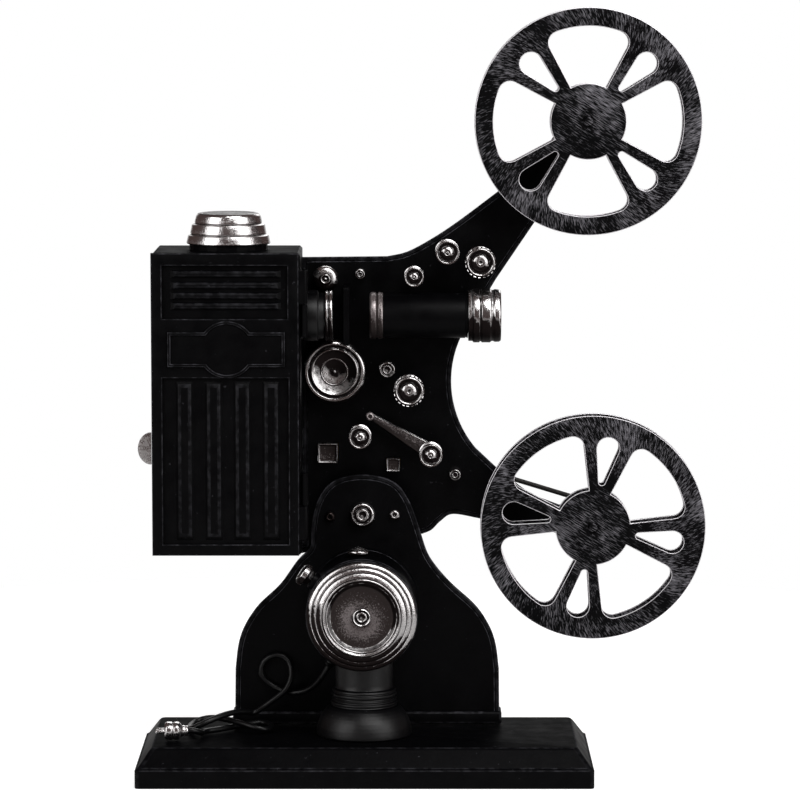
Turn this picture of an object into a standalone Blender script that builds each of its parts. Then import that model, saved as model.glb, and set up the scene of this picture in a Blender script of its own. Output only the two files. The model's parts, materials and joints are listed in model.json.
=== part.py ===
"""Antique table-top film projector, modelled as an assembly of separate pieces.

Every size below is in millimetres, and place() turns it into metres. +Z is up. The origin is the
middle of the base's underside. +X runs from the lamphouse towards the lens, and +Y runs away from
the side on which the film is threaded. A point on an axis along Y is given as (X, Z).
"""

import math

import bmesh
import bpy
from mathutils import Vector

MM = 0.001
GAP = 0.3  # clearance between pieces that seat on each other
TURN = 2 * math.pi

# Which way a piece's own +Z is turned
UPRIGHT = (0, 0, 0)
FRONT = (math.pi / 2, 0, 0)
ALONG_X = (0, math.pi / 2, 0)
AGAINST_X = (0, -math.pi / 2, 0)

# Layers from the threading side to the back, as Y
DOOR_FRONT = -17.3
LAMP_FRONT = -13.0
FILM_Y = 15.0
BRACKET_FRONT, BRACKET_BACK = 22.0, 31.0
FRAME_FRONT, FRAME_BACK = 31.3, 39.3
SEAT = FRAME_FRONT - GAP  # where a piece sits on the face of the frame
LAMP_BACK = 39.0
COVER_FRONT, COVER_BACK = 39.6, 57.0
BELT_Y = 60.5

# Base and stand
BASE_LENGTH, BASE_DEPTH, BASE_HEIGHT = 220.0, 92.0, 18.5
BASE_BAND, BASE_SLOPE = 9.0, 8.0
FOOT_FRONT, FOOT_BACK, FOOT_HEIGHT = 19.0, 34.0, 6.0
PIVOT = (-1.5, 123.0)
PIVOT_SHANK, PIVOT_END = 4.0, 36.0
TILT_LOCKS = {"tilt_lock_left": (-17.5, 121.8), "tilt_lock_right": (14.3, 122.8)}

# Motor
MOTOR = (-1.5, 79.6)
MOTOR_RADIUS, MOTOR_WALL = 27.0, 2.5
MOTOR_FRONT, MOTOR_BACK = -22.0, BRACKET_FRONT - GAP
SHAFT, JOURNAL = 3.0, 2.0  # radii of the driven shafts and of the thin ones
PEDESTAL = (-0.5, -4.0)
OILER = (-3.3, -5.0)
KNOB_ANGLE, KNOB_Y, KNOB_REACH = 146.0, -12.0, 29.2
GLAND_ANGLE, GLAND_Y, GLAND_REACH = 240.5, 6.0, 33.5

# Lamphouse
LAMP_LEFT, LAMP_RIGHT, LAMP_BOTTOM, LAMP_TOP = -102.4, -31.0, 108.3, 254.4
LAMP_WALL = 2.0
LAMP_X = -66.3
CHIMNEY_NECK, CHIMNEY_BORE, CHIMNEY_RISE = 19.0, 11.0, 2.4
HINGE = (-29.0, -13.2)
KNUCKLE, HINGE_PIN = 1.7, 0.75
DOOR_EDGE = -31.6
PULL_LOW, PULL_HIGH, PULL_REACH = 152.6, 168.1, 109.1

# Face of the lamphouse door, as (X, Z) corners and centres
LOUVRE_PANEL = ((-97.1, 222.9), (-37.0, 248.5))
LOUVRES, LOUVRE_ENDS, LOUVRE_HALF = (244.5, 239.0, 234.0, 229.1), (-93.5, -39.5), 1.9
RIB_PANEL = ((-97.1, 113.8), (-36.5, 194.4))
RIBS, RIB_ENDS, RIB_HALF = (-86.5, -72.5, -58.8, -44.9), (115.3, 193.6), 4.5
PANEL_DEPTH = 1.8
NAME_BAR, NAME_DISC = ((-94.5, 199.9), (-38.2, 216.6)), (-66.0, 208.3, 13.7)
DOOR_KNUCKLES, BODY_KNUCKLES = ((116, 132), (230, 246)), ((132.4, 148), (214, 229.6))

# Optics on the lens axis
LENS_Z = 221.8
CONDENSER, CONDENSER_BORE = 12.4, 9.0
BARREL, BARREL_BORE, BARREL_START, BARREL_END = 11.0, 8.5, 9.0, 50.0

# Reels
UPPER_REEL, LOWER_REEL = (108.1, 316.3), (111.4, 118.2)
REEL_RADIUS, FLANGE, FILM_GAP = 55.0, 1.2, 10.0
REEL_HUB, WINDOW_OUTER, WINDOW_HALF_ANGLE, WINDOW_CORNER = 18.4, 46.0, 28.0, 5.5
DROP_INNER, DROP_INNER_RADIUS, DROP_OUTER, DROP_OUTER_RADIUS = 22.8, 1.6, 39.5, 5.5
REEL_CORE, SPINDLE, REEL_SHAFT, REEL_STOP = 16.0, 2.4, 4.0, 7.0
ARM_END = 9.0
LOWER_REEL_TURN = 34.5

# Film path
UPPER_SPROCKET, LOWER_SPROCKET = (56.1, 247.9), (21.4, 185.1)
SPROCKET_TIP, SPROCKET_ROOT, SPROCKET_DRUM, SPROCKET_TEETH = 7.5, 6.7, 5.9, 16
ROLL_FRONT, ROLL_BACK = FILM_Y - 6, FILM_Y + 6  # the outer faces of sprockets and rollers
INCHING = (-15.2, 193.1)
FRAMING, FRAMING_SHANK = (-19.6, 238.9), 1.8
LEVER_HUB, LEVER_TIP = (32.0, 153.5), (2.3, 171.3)
LEVER_FRONT, LEVER_BACK = 24.3, 27.3  # behind the rollers, so that the lever swings past them
ROLLERS = {
    "top_guide_roller": ((40.0, 252.7), 6.0),
    "lens_guide_roller": ((23.8, 240.8), 4.9),
    "lower_guide_roller": ((-2.6, 162.2), 5.6),
    "lever_roller": (LEVER_HUB, 5.8),
}
STUDS = {
    "upper_stud": ((-2.5, 241.4), 2.5),
    "loop_stud": ((10.7, 194.5), 4.1),
    "lower_stud": ((44.1, 142.6), 2.9),
}
BUTTONS = {"motor_button": ((-18.6, 152.3), 9.7), "lamp_button": ((13.6, 146.6), 6.3)}
STUD_FRONT, STUD_SHANK = 20.0, 1.5
BUTTON_FRONT, BUTTON_END, POCKET_END = 27.5, 34.5, 37.5

# Gear train, of one module, so that a pitch radius is half the module times the teeth
MODULE = 1.5
GEAR_FRONT, GEAR_BACK = 42.0, 47.0
PINION_TEETH, IDLER_TEETH, SPROCKET_GEAR_TEETH, INCHING_TEETH = 10, 28, 23, 27
IDLER = (4.25, 150.9)
MOTOR_PULLEY, DRIVE_PULLEY, TAKE_UP_PULLEY, FEED_PULLEY = 7.0, 14.0, 4.0, 6.0
BELT_RADIUS, SHEAVE_HALF, SHEAVE_LIP = 1.2, 2.8, 2.0

# Mains lead
CORD = 1.5
HANK = (-66.0, 3.0)
HANK_HALF_LENGTH, HANK_WIDTH, HANK_LAYER = 20.0, 19.0, 3.5
HANK_TAIL = 0.42  # how far past the crossing each end of the hank runs, as a share of a radian
LOOP_POINTS = 24
PLUG, PLUG_RADIUS = (-91.5, -20.0), 4.4
PIN_RADIUS, PIN_SPREAD, PIN_REACH = 0.9, 2.2, 9.8
LEAD_KNOTS = [
    (-20.6, 7.0, 45.6), (-24.5, 9.5, 40.3), (-29.4, 12.5, 36.6), (-35.5, 15.5, 35.0),
    (-42.0, 18.2, 36.0), (-48.0, 19.6, 39.2), (-51.6, 20.0, 44.0), (-50.0, 20.0, 50.0),
    (-44.2, 19.6, 53.2), (-38.0, 18.6, 50.6), (-36.4, 15.6, 44.0), (-38.8, 13.4, 37.6),
    (-43.6, 12.9, 33.2),
]
TAIL_KNOTS = [(-79.2, -11.6, 20.6), (-79.4, -16.8, 21.6)]

for stale in list(bpy.data.objects):
    bpy.data.objects.remove(stale)


def finish(name, colour, roughness, metallic=0.0, alpha=1.0):
    material = bpy.data.materials.new(name)
    material.use_nodes = True
    shader = material.node_tree.nodes["Principled BSDF"]
    shader.inputs["Base Color"].default_value = (*colour, 1)
    shader.inputs["Roughness"].default_value = roughness
    shader.inputs["Metallic"].default_value = metallic
    shader.inputs["Alpha"].default_value = alpha
    return material


BLACK = finish("black_enamel", (0.012, 0.012, 0.014), 0.5)
SILVER = finish("rubbed_silver", (0.62, 0.62, 0.62), 0.3, 1.0)
REEL_STEEL = finish("brushed_black_steel", (0.06, 0.06, 0.065), 0.45, 0.8)
STEEL = finish("plain_steel", (0.45, 0.45, 0.46), 0.4, 1.0)
BRASS = finish("gear_brass", (0.55, 0.4, 0.16), 0.35, 1.0)
GLASS = finish("clear_glass", (0.9, 0.95, 0.95), 0.05, 0.0, 0.35)
RUBBER = finish("cord_rubber", (0.015, 0.015, 0.016), 0.65)
LEATHER = finish("belt_leather", (0.09, 0.05, 0.03), 0.7)


def place(name, shape, material, at=(0, 0, 0), facing=UPRIGHT):
    """Closes a bmesh into a named object, with its own origin at a point."""
    bmesh.ops.remove_doubles(shape, verts=shape.verts, dist=0.001)
    bmesh.ops.recalc_face_normals(shape, faces=shape.faces)
    bmesh.ops.scale(shape, vec=(MM, MM, MM), verts=shape.verts)
    mesh = bpy.data.meshes.new(name)
    shape.to_mesh(mesh)
    shape.free()
    mesh.shade_smooth()
    mesh.set_sharp_from_angle(angle=math.radians(32))
    mesh.materials.append(material)
    made = bpy.data.objects.new(name, mesh)
    made.location = Vector(at) * MM
    made.rotation_euler = facing
    bpy.context.scene.collection.objects.link(made)
    return made


def helper(shape, at=(0, 0, 0), facing=UPRIGHT):
    """A shape that only cuts, or is joined to, another object."""
    made = place("helper", shape, BLACK, at, facing)
    made.hide_render = True
    made.display_type = "WIRE"
    return made


def combine(target, operation, *helpers):
    for other in helpers:
        modifier = target.modifiers.new(f"{operation.lower()}_{other.name}", "BOOLEAN")
        modifier.operation = operation
        modifier.object = other
        modifier.solver = "EXACT"


def cut(target, *helpers):
    combine(target, "DIFFERENCE", *helpers)


def join(target, *helpers):
    combine(target, "UNION", *helpers)


def loft(loops, shape=None):
    """Skins a row of loops that have the same number of points, and caps both ends."""
    shape = shape or bmesh.new()
    rings = [[shape.verts.new(point) for point in loop] for loop in loops]
    for ring, after in zip(rings, rings[1:]):
        for i, vert in enumerate(ring):
            shape.faces.new((ring[i - 1], vert, after[i], after[i - 1]))
    shape.faces.new(rings[0])
    shape.faces.new(rings[-1])
    return shape


def turned(profile, sides, closed=False):
    """A shape turned about its own Z from (radius, height) points. A closed profile makes a ring."""
    shape = bmesh.new()
    points = [shape.verts.new((radius, 0, height)) for radius, height in profile]
    ends = points[1:] + (points[:1] if closed else [])
    edges = [shape.edges.new(pair) for pair in zip(points, ends)]
    bmesh.ops.spin(
        shape, geom=points + edges, axis=(0, 0, 1), cent=(0, 0, 0), angle=TURN, steps=sides, use_merge=True
    )
    return shape


def rod(radius, low, high, sides=16):
    return turned([(0, low), (radius, low), (radius, high), (0, high)], sides)


def plate(outline, low, high, holes=()):
    """A flat plate in its own XY plane, with holes through it."""
    shape = bmesh.new()
    edges = []
    for loop in (outline, *holes):
        points = [shape.verts.new((x, y, low)) for x, y in loop]
        edges += [shape.edges.new(pair) for pair in zip(points, points[1:] + points[:1])]
    bmesh.ops.triangle_fill(shape, edges=edges, use_beauty=True, use_dissolve=False)
    risen = bmesh.ops.extrude_face_region(shape, geom=shape.faces[:])["geom"]
    raised = [v for v in risen if isinstance(v, bmesh.types.BMVert)]
    bmesh.ops.translate(shape, verts=raised, vec=(0, 0, high - low))
    return shape


def block(low, high):
    (x0, y0, z0), (x1, y1, z1) = low, high
    return plate([(x0, y0), (x1, y0), (x1, y1), (x0, y1)], z0, z1)


def ease(shape, width, segments, chosen):
    """Bevels the sharp edges whose ends all pass a test."""
    sharp = [e for e in shape.edges if len(e.link_faces) == 2 and e.calc_face_angle() > math.radians(40)]
    edges = [e for e in sharp if all(chosen(v.co) for v in e.verts)]
    bmesh.ops.bevel(shape, geom=edges, offset=width, segments=segments, affect="EDGES", profile=0.5)
    return shape


def arc(centre, radius, start, end, points):
    """Points on an arc between two angles in degrees, both ends included."""
    angles = [math.radians(start + (end - start) * i / (points - 1)) for i in range(points)]
    return [(centre[0] + radius * math.cos(a), centre[1] + radius * math.sin(a)) for a in angles]


def circle(centre, radius, points=16):
    return arc(centre, radius, 0, 360, points + 1)[:-1]


def smooth_line(points, per_span):
    """A Catmull-Rom curve through points of two or three coordinates."""
    knots = [Vector(p) for p in points]
    knots = [2 * knots[0] - knots[1], *knots, 2 * knots[-1] - knots[-2]]
    made = []
    for a, b, c, d in zip(knots, knots[1:], knots[2:], knots[3:]):
        for t in (i / per_span for i in range(per_span)):
            bend = (2 * a - 5 * b + 4 * c - d) * t**2 + (3 * b - a - 3 * c + d) * t**3
            made.append(0.5 * (2 * b + (c - a) * t + bend))
    return [*(tuple(p) for p in made), tuple(knots[-2])]


def around_circles(circles, points=20):
    """The outline of a band stretched round circles, as the convex hull of points on them."""
    dots = sorted({p for centre, radius in circles for p in circle(centre, radius, points)})
    outline = []
    for row in (dots, dots[::-1]):
        side = []
        for p in row:
            while len(side) > 1 and turns_right(side[-2], side[-1], p):
                side.pop()
            side.append(p)
        outline += side[:-1]
    return outline


def turns_right(a, b, c):
    return (b[0] - a[0]) * (c[1] - a[1]) - (b[1] - a[1]) * (c[0] - a[0]) <= 1e-9


def along_y(profile):
    """Turns (radius, Y) points into the (radius, height) points of a piece that faces front."""
    return [(radius, -y) for radius, y in profile]


def on_y(name, axis, profile, material, sides=16, closed=False):
    """A piece turned about an axis along Y, from (radius, Y) points."""
    return place(name, turned(along_y(profile), sides, closed), material, (axis[0], 0, axis[1]), FRONT)


def on_lens(name, profile, material, sides=18, closed=True):
    """A piece turned about the lens axis, from (radius, X) points."""
    return place(name, turned(profile, sides, closed), material, (0, FILM_Y, LENS_Z), ALONG_X)


def hole_y(axis, radius, front, back, sides=10):
    """A helper rod along Y, to cut a hole or to join on as a boss."""
    return helper(rod(radius, -back, -front, sides), (axis[0], 0, axis[1]), FRONT)


def from_motor(angle, reach):
    """A point (X, Z) at an angle and a distance from the motor's axis."""
    turn = math.radians(angle)
    return (MOTOR[0] + reach * math.cos(turn), MOTOR[1] + reach * math.sin(turn))


def facing_out(angle):
    """Turns a piece's own Z to point away from the motor's axis at an angle."""
    return (0, math.pi / 2 - math.radians(angle), 0)


def toothed(teeth, points, phase=0.0):
    """An outline that repeats one tooth, given as (radius, share of a tooth's turn) points."""
    step = TURN / teeth
    turns = [(r, phase + (i + share) * step) for i in range(teeth) for r, share in points]
    return [(r * math.cos(a), r * math.sin(a)) for r, a in turns]


def gear_outline(teeth, phase):
    pitch = MODULE * teeth / 2
    root, tip = pitch - 1.25 * MODULE, pitch + MODULE
    return toothed(teeth, ((root, -0.29), (tip, -0.11), (tip, 0.11), (root, 0.29)), phase)


def meshed_phase(phase, teeth, centre, next_teeth, next_centre):
    """The phase that puts a gap of the next gear where a tooth of this one is."""
    line = math.atan2(next_centre[1] - centre[1], next_centre[0] - centre[0])
    return line + math.pi - (phase - line) * teeth / next_teeth + math.pi / next_teeth


def gear(name, axis, teeth, phase, bore):
    """A gear on an axis along Y, bored for a shaft if it has one of its own."""
    holes = [circle((0, 0), bore, 12)] if bore else []
    shape = plate(gear_outline(teeth, phase), -GEAR_BACK, -GEAR_FRONT, holes)
    return place(name, shape, BRASS, (axis[0], 0, axis[1]), FRONT)


def sheave(radius, y):
    """The profile of a pulley with one belt groove, from (radius, Y) points."""
    rim = radius + SHEAVE_LIP
    groove = [(rim, y - 2.0), (radius, y - 0.8), (radius, y + 0.8), (rim, y + 2.0)]
    return [(rim, y - SHEAVE_HALF), *groove, (rim, y + SHEAVE_HALF)]


def belt(name, axis, radius, other_axis, other_radius):
    """A round belt that runs round two pulleys."""
    seat = BELT_RADIUS + GAP
    path = around_circles(((axis, radius + seat), (other_axis, other_radius + seat)), 16)
    cord(name, [(x, BELT_Y, z) for x, z in path], BELT_RADIUS, LEATHER, cyclic=True)


def cord(name, points, radius, material, cyclic=False):
    """A round tube along points."""
    data = bpy.data.curves.new(name, "CURVE")
    data.dimensions = "3D"
    data.bevel_depth = radius * MM
    data.bevel_resolution = 1
    data.use_fill_caps = not cyclic
    line = data.splines.new("POLY")
    line.points.add(len(points) - 1)
    for point, spot in zip(line.points, points):
        point.co = (*(Vector(spot) * MM), 1)
    line.use_cyclic_u = cyclic
    data.materials.append(material)
    bpy.context.scene.collection.objects.link(bpy.data.objects.new(name, data))


def base():
    """A plinth with a plain band below and a slope above."""
    half_x, half_y = BASE_LENGTH / 2, BASE_DEPTH / 2
    levels = [(0, 0.8), (0.8, 0), (BASE_BAND, 0), (BASE_BAND + 0.8, 1.6)]
    levels += [(BASE_HEIGHT - 1, BASE_SLOPE - 1), (BASE_HEIGHT, BASE_SLOPE)]
    corners = ((-1, -1), (1, -1), (1, 1), (-1, 1))
    loops = [[(x * (half_x - inset), y * (half_y - inset), z) for x, y in corners] for z, inset in levels]
    shape = loft(loops)
    upright = [e for e in shape.edges if abs(e.verts[0].co.z - e.verts[1].co.z) > 0.1]
    bmesh.ops.bevel(shape, geom=upright, offset=2.0, segments=2, affect="EDGES", profile=0.5)
    place("base_plinth", shape, BLACK)


def bracket_outline():
    """The stand's cheek: an arch round the tilt pivot that sweeps out to a wide foot."""
    right = [(0, 19.6), (10.5, 18.1), (17.7, 14.2), (22.5, 7.5), (25.7, 0), (28.5, -8.5), (32.1, -19.2)]
    right += [(37.2, -27.2), (44.7, -35.5), (56, -45.9), (62.5, -55.4), (65.8, -64.8), (67.4, -77)]
    left = [(-10.5, 18), (-17.5, 13.6), (-21.8, 7), (-24, 0), (-25.2, -8), (-25.8, -16.5), (-32.4, -23.6)]
    left += [(-41, -35.5), (-51.8, -45.9), (-58.1, -55.4), (-61.3, -64.8), (-62.8, -77)]
    foot = BASE_HEIGHT + GAP - PIVOT[1]
    loop = smooth_line([*left[::-1], *right], 2)
    loop = [(-63.1, foot), *loop, (67.7, foot)]
    return [(PIVOT[0] + x, PIVOT[1] + z) for x, z in loop]


def stand():
    """The bracket with its foot flange and the rear bearing of the motor's shaft."""
    outline = bracket_outline()
    shape = plate(outline, -BRACKET_BACK, -BRACKET_FRONT)
    above_foot = BASE_HEIGHT + 8
    ease(shape, 2.2, 1, lambda p: p.z > -BRACKET_FRONT - 0.01 and p.y > above_foot)
    bracket = place("stand_bracket", shape, BLACK, facing=FRONT)
    foot = BASE_HEIGHT + GAP
    left, right = outline[0][0], outline[-1][0]
    flange = block((left - 1, FOOT_FRONT, foot), (right + 1, FOOT_BACK, foot + FOOT_HEIGHT))
    ease(flange, 1.0, 1, lambda p: p.z > foot + 1)
    join(bracket, helper(flange), hole_y(MOTOR, 8, BRACKET_BACK - 1, COVER_BACK - 3, 16))
    cut(bracket, hole_y(MOTOR, SHAFT + GAP, 20, 60), hole_y(PIVOT, PIVOT_SHANK + GAP, 20, 40))
    for name, axis in TILT_LOCKS.items():
        cut(bracket, hole_y(axis, 1.8, 20, 28))
        screw = [(0, 19.4), (1.6, 19.4), (2.6, 20.2), (2.6, 21.7), (1.5, 21.7), (1.5, 27.6), (0, 27.6)]
        on_y(name, axis, screw, SILVER, 12)
    bolt = [(0, 17.0), (3.2, 17.0), (3.6, 17.8), (4.8, 17.8), (6.0, 18.4), (6.3, 19.4), (6.3, 21.7)]
    bolt += [(PIVOT_SHANK, 21.7), (PIVOT_SHANK, PIVOT_END), (0, PIVOT_END)]
    on_y("pivot_bolt", PIVOT, bolt, SILVER, 14)


def motor():
    """The motor, from the turned pedestal below it to the handwheel in front."""
    foot = BASE_HEIGHT + GAP
    bell = [(0, foot), (22.7, foot), (23, 21.5), (22.3, 25), (20.6, 28.7), (18.2, 31.8), (16.3, 33.4)]
    bell += [(15.6, 34.2), (15.6, 36.6), (14.9, 37.4), (15.6, 38), (15.6, 40.6), (14, 42), (14, 62), (0, 62)]
    pedestal = place("motor_pedestal", turned(bell, 18), BLACK, (*PEDESTAL, 0))
    cut(pedestal, hole_y(MOTOR, MOTOR_RADIUS + GAP, -40, 40, 26))

    bore, inner = SHAFT + GAP, MOTOR_RADIUS - MOTOR_WALL
    shell = [(bore, MOTOR_BACK), (MOTOR_RADIUS - 1, MOTOR_BACK), (MOTOR_RADIUS, MOTOR_BACK - 1)]
    shell += [(MOTOR_RADIUS, MOTOR_FRONT), (inner, MOTOR_FRONT)]
    shell += [(inner, MOTOR_BACK - 3), (bore, MOTOR_BACK - 3)]
    housing = on_y("motor_housing", MOTOR, shell, BLACK, 26, closed=True)
    neck_at = (MOTOR[0], KNOB_Y, MOTOR[1])
    join(housing, helper(rod(4.2, MOTOR_RADIUS - 2, KNOB_REACH), neck_at, facing_out(KNOB_ANGLE)))
    gland_at = (MOTOR[0], GLAND_Y, MOTOR[1])
    cut(
        housing,
        helper(rod(1.9, inner - 2, KNOB_REACH + 1), neck_at, facing_out(KNOB_ANGLE)),
        helper(rod(2.8, inner - 2, MOTOR_RADIUS + 2), gland_at, facing_out(GLAND_ANGLE)),
        helper(rod(2.3, MOTOR[1] + inner - 2, MOTOR[1] + 30), (*OILER, 0)),
    )
    top = MOTOR[1] + MOTOR_RADIUS
    cup = [(0, top - 3.4), (2.0, top - 3.4), (2.0, top + 0.4), (4.2, top + 0.4), (5.1, top + 1.2)]
    cup += [(5.1, top + 2.4), (3.6, top + 3.6), (0, top + 4.0)]
    place("oiler_cap", turned(cup, 12), SILVER, (*OILER, 0))

    knob = [(0, -4), (1.6, -4), (1.6, 0.3), (3.4, 0.3), (4.0, 2.4)]
    knob += [(5.3, 2.8), (5.3, 5.8), (4.2, 6.6), (0, 6.9)]
    x, z = from_motor(KNOB_ANGLE, KNOB_REACH)
    place("speed_knob", turned(knob, 14), SILVER, (x, KNOB_Y, z), facing_out(KNOB_ANGLE))
    low = MOTOR_RADIUS + GAP + 0.1
    collar = [(0, low - 3.6), (2.5, low - 3.6), (2.5, low), (3.6, low), (3.6, low + 2.4)]
    collar += [(2.4, GLAND_REACH - 0.8), (2.1, GLAND_REACH), (0, GLAND_REACH)]
    place("cord_gland", turned(collar, 12), RUBBER, gland_at, facing_out(GLAND_ANGLE))

    wheel = [(2.3, -22.5), (26.6, -22.5), (26.6, -25.8), (25.6, -26.6), (24.4, -26.6), (23.6, -25.9)]
    wheel += [(22.4, -26.6), (19.0, -27.4), (18.2, -28.4), (17.0, -28.4), (15.6, -25.0), (2.3, -25.4)]
    on_y("motor_handwheel", MOTOR, wheel, SILVER, 30, closed=True)
    core = [(0, -28.2), (3.0, -28.2), (4.4, -27.4), (4.4, -25.7), (2.0, -25.7), (2.0, -19), (SHAFT, -19)]
    core += [(SHAFT, -16), (21, -16), (21, 13), (SHAFT, 13), (SHAFT, BELT_Y - SHEAVE_HALF)]
    core += [*sheave(MOTOR_PULLEY, BELT_Y), (0, BELT_Y + SHEAVE_HALF)]
    on_y("motor_armature", MOTOR, core, STEEL, 10)
    belt("drive_belt", MOTOR, MOTOR_PULLEY, PIVOT, DRIVE_PULLEY)


def frame_outline():
    """The head's plate: square at the lamphouse, with an arm to each reel."""
    top = [(10.7, 249.5), (20.6, 251.8), (32.8, 258.3), (45.9, 267.0), (65.6, 281.8)]
    upper_end = arc(UPPER_REEL, ARM_END, 129, -35, 7)
    behind_lens = [(83.1, 266.4), (64.2, 238.4)]
    throat = arc((94.0, 188.0), 51.8, 154.7, 220.1, 9)
    lower_arm = [(64.6, 145), (73.3, 138), (82.7, 131.3), (96, 126)]
    lower_end = arc(LOWER_REEL, ARM_END, 68, -97, 7)
    heel = smooth_line([(56.4, 119.5), (43.2, 121.7), (37.2, 118.3), (32.6, 113.8), (28.1, 111.8)], 2)
    lobe = arc(PIVOT, 18.5, -37, -120, 5)
    edge = LAMP_RIGHT + GAP
    left = [(edge, 105), (edge, 249.1)]
    return [*left, *top, *upper_end, *behind_lens, *throat, *lower_arm, *lower_end, *heel, *lobe]


def frame():
    """The frame plate, bored for every shaft, with a rear boss where a shaft runs on to a belt."""
    shape = plate(frame_outline(), -FRAME_BACK, -FRAME_FRONT)
    ease(shape, 1.8, 1, lambda p: p.z > -FRAME_FRONT - 0.01 and p.x > LAMP_RIGHT + 1)
    made = place("main_frame", shape, BLACK, facing=FRONT)
    bosses = ((UPPER_SPROCKET, 6), (LOWER_REEL, 7.5))
    join(made, *(hole_y(axis, radius, FRAME_BACK - 1, COVER_BACK - 1, 12) for axis, radius in bosses))
    through = FRAME_FRONT - 2, COVER_BACK + 2
    bores = [(UPPER_SPROCKET, SHAFT), (LOWER_SPROCKET, SHAFT), (INCHING, SHAFT), (FRAMING, FRAMING_SHANK)]
    bores += [(axis, REEL_SHAFT) for axis in (UPPER_REEL, LOWER_REEL)]
    bores += [(axis, JOURNAL) for axis, _ in ROLLERS.values()]
    cut(made, *(hole_y(axis, radius + GAP, *through) for axis, radius in bores))
    cut(made, hole_y(PIVOT, PIVOT_SHANK + GAP, 25, PIVOT_END + GAP), hole_y(PIVOT, JOURNAL + GAP, 30, 45))
    cut(made, hole_y(IDLER, JOURNAL + GAP, FRAME_BACK - 5, 45))
    cut(made, *(hole_y(axis, STUD_SHANK + GAP, 25, SEAT + 5) for axis, _ in STUDS.values()))
    for (x, z), width in BUTTONS.values():
        half = width / 2 + GAP
        cut(made, helper(block((x - half, 25, z - half), (x + half, POCKET_END, z + half))))


def gears_and_cover():
    """The gear train behind the frame, in mesh as it stands, and the case round it."""
    wheels = {
        "idler_gear": (IDLER, IDLER_TEETH),
        "lower_sprocket_gear": (LOWER_SPROCKET, SPROCKET_GEAR_TEETH),
        "inching_gear": (INCHING, INCHING_TEETH),
    }
    phase, teeth, centre = 0.0, PINION_TEETH, PIVOT
    drive = [(0, FRAME_BACK - 2.7), (JOURNAL, FRAME_BACK - 2.7), (JOURNAL, COVER_FRONT + 1)]
    drive += [(SHAFT, COVER_FRONT + 1), (SHAFT, COVER_BACK + 0.4)]
    drive += [*sheave(DRIVE_PULLEY, BELT_Y), (0, BELT_Y + SHEAVE_HALF)]
    pulley = on_y("drive_pulley", PIVOT, drive, STEEL, 18)
    pinion = plate(gear_outline(teeth, phase), -GEAR_BACK, -GEAR_FRONT)
    join(pulley, helper(pinion, (PIVOT[0], 0, PIVOT[1]), FRONT))
    for name, (axis, next_teeth) in wheels.items():
        phase = meshed_phase(phase, teeth, centre, next_teeth, axis)
        teeth, centre = next_teeth, axis
        made = gear(name, axis, teeth, phase, None if axis is IDLER else SHAFT + GAP)
        if axis is IDLER:
            shaft = [(0, FRAME_BACK - 4), (JOURNAL, FRAME_BACK - 4), (JOURNAL, BELT_Y - SHEAVE_HALF)]
            shaft += [*sheave(TAKE_UP_PULLEY, BELT_Y), (0, BELT_Y + SHEAVE_HALF)]
            join(made, helper(turned(along_y(shaft), 10), (axis[0], 0, axis[1]), FRONT))

    rims = [(axis, MODULE * (count / 2 + 1)) for axis, count in wheels.values()]
    rims.append((PIVOT, MODULE * (PINION_TEETH / 2 + 1)))
    outer = around_circles([(axis, radius + 2.0) for axis, radius in rims])
    inner = around_circles([(axis, radius + 0.7) for axis, radius in rims])
    shape = ease(plate(outer, -COVER_BACK, -COVER_FRONT), 1.2, 1, lambda p: p.z < -COVER_BACK + 0.01)
    cover = place("rear_cover", shape, BLACK, facing=FRONT)
    cut(cover, helper(plate(inner, -COVER_BACK + 2, -COVER_FRONT + 1), facing=FRONT))
    bores = ((PIVOT, SHAFT), (LOWER_SPROCKET, SHAFT), (IDLER, JOURNAL))
    cut(cover, *(hole_y(axis, radius + GAP, 50, 60) for axis, radius in bores))


def ridge(shape, centre, half_width, start, end, foot, crest, upright):
    """Adds a rounded ridge with slanted ends, which runs along the door's height or width."""
    section = ((-1, 0), (-0.8, 0.65), (-0.35, 1), (0.35, 1), (0.8, 0.65), (1, 0))
    rise = crest - foot
    loops = []
    for end_at, slant in ((start, 1), (end, -1)):
        points = []
        for across, up in section:
            points.append((centre + across * half_width, end_at + slant * up * rise, foot + up * rise))
        loops.append(points if upright else [(along, across, up) for across, along, up in points])
    loft(loops, shape)


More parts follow.
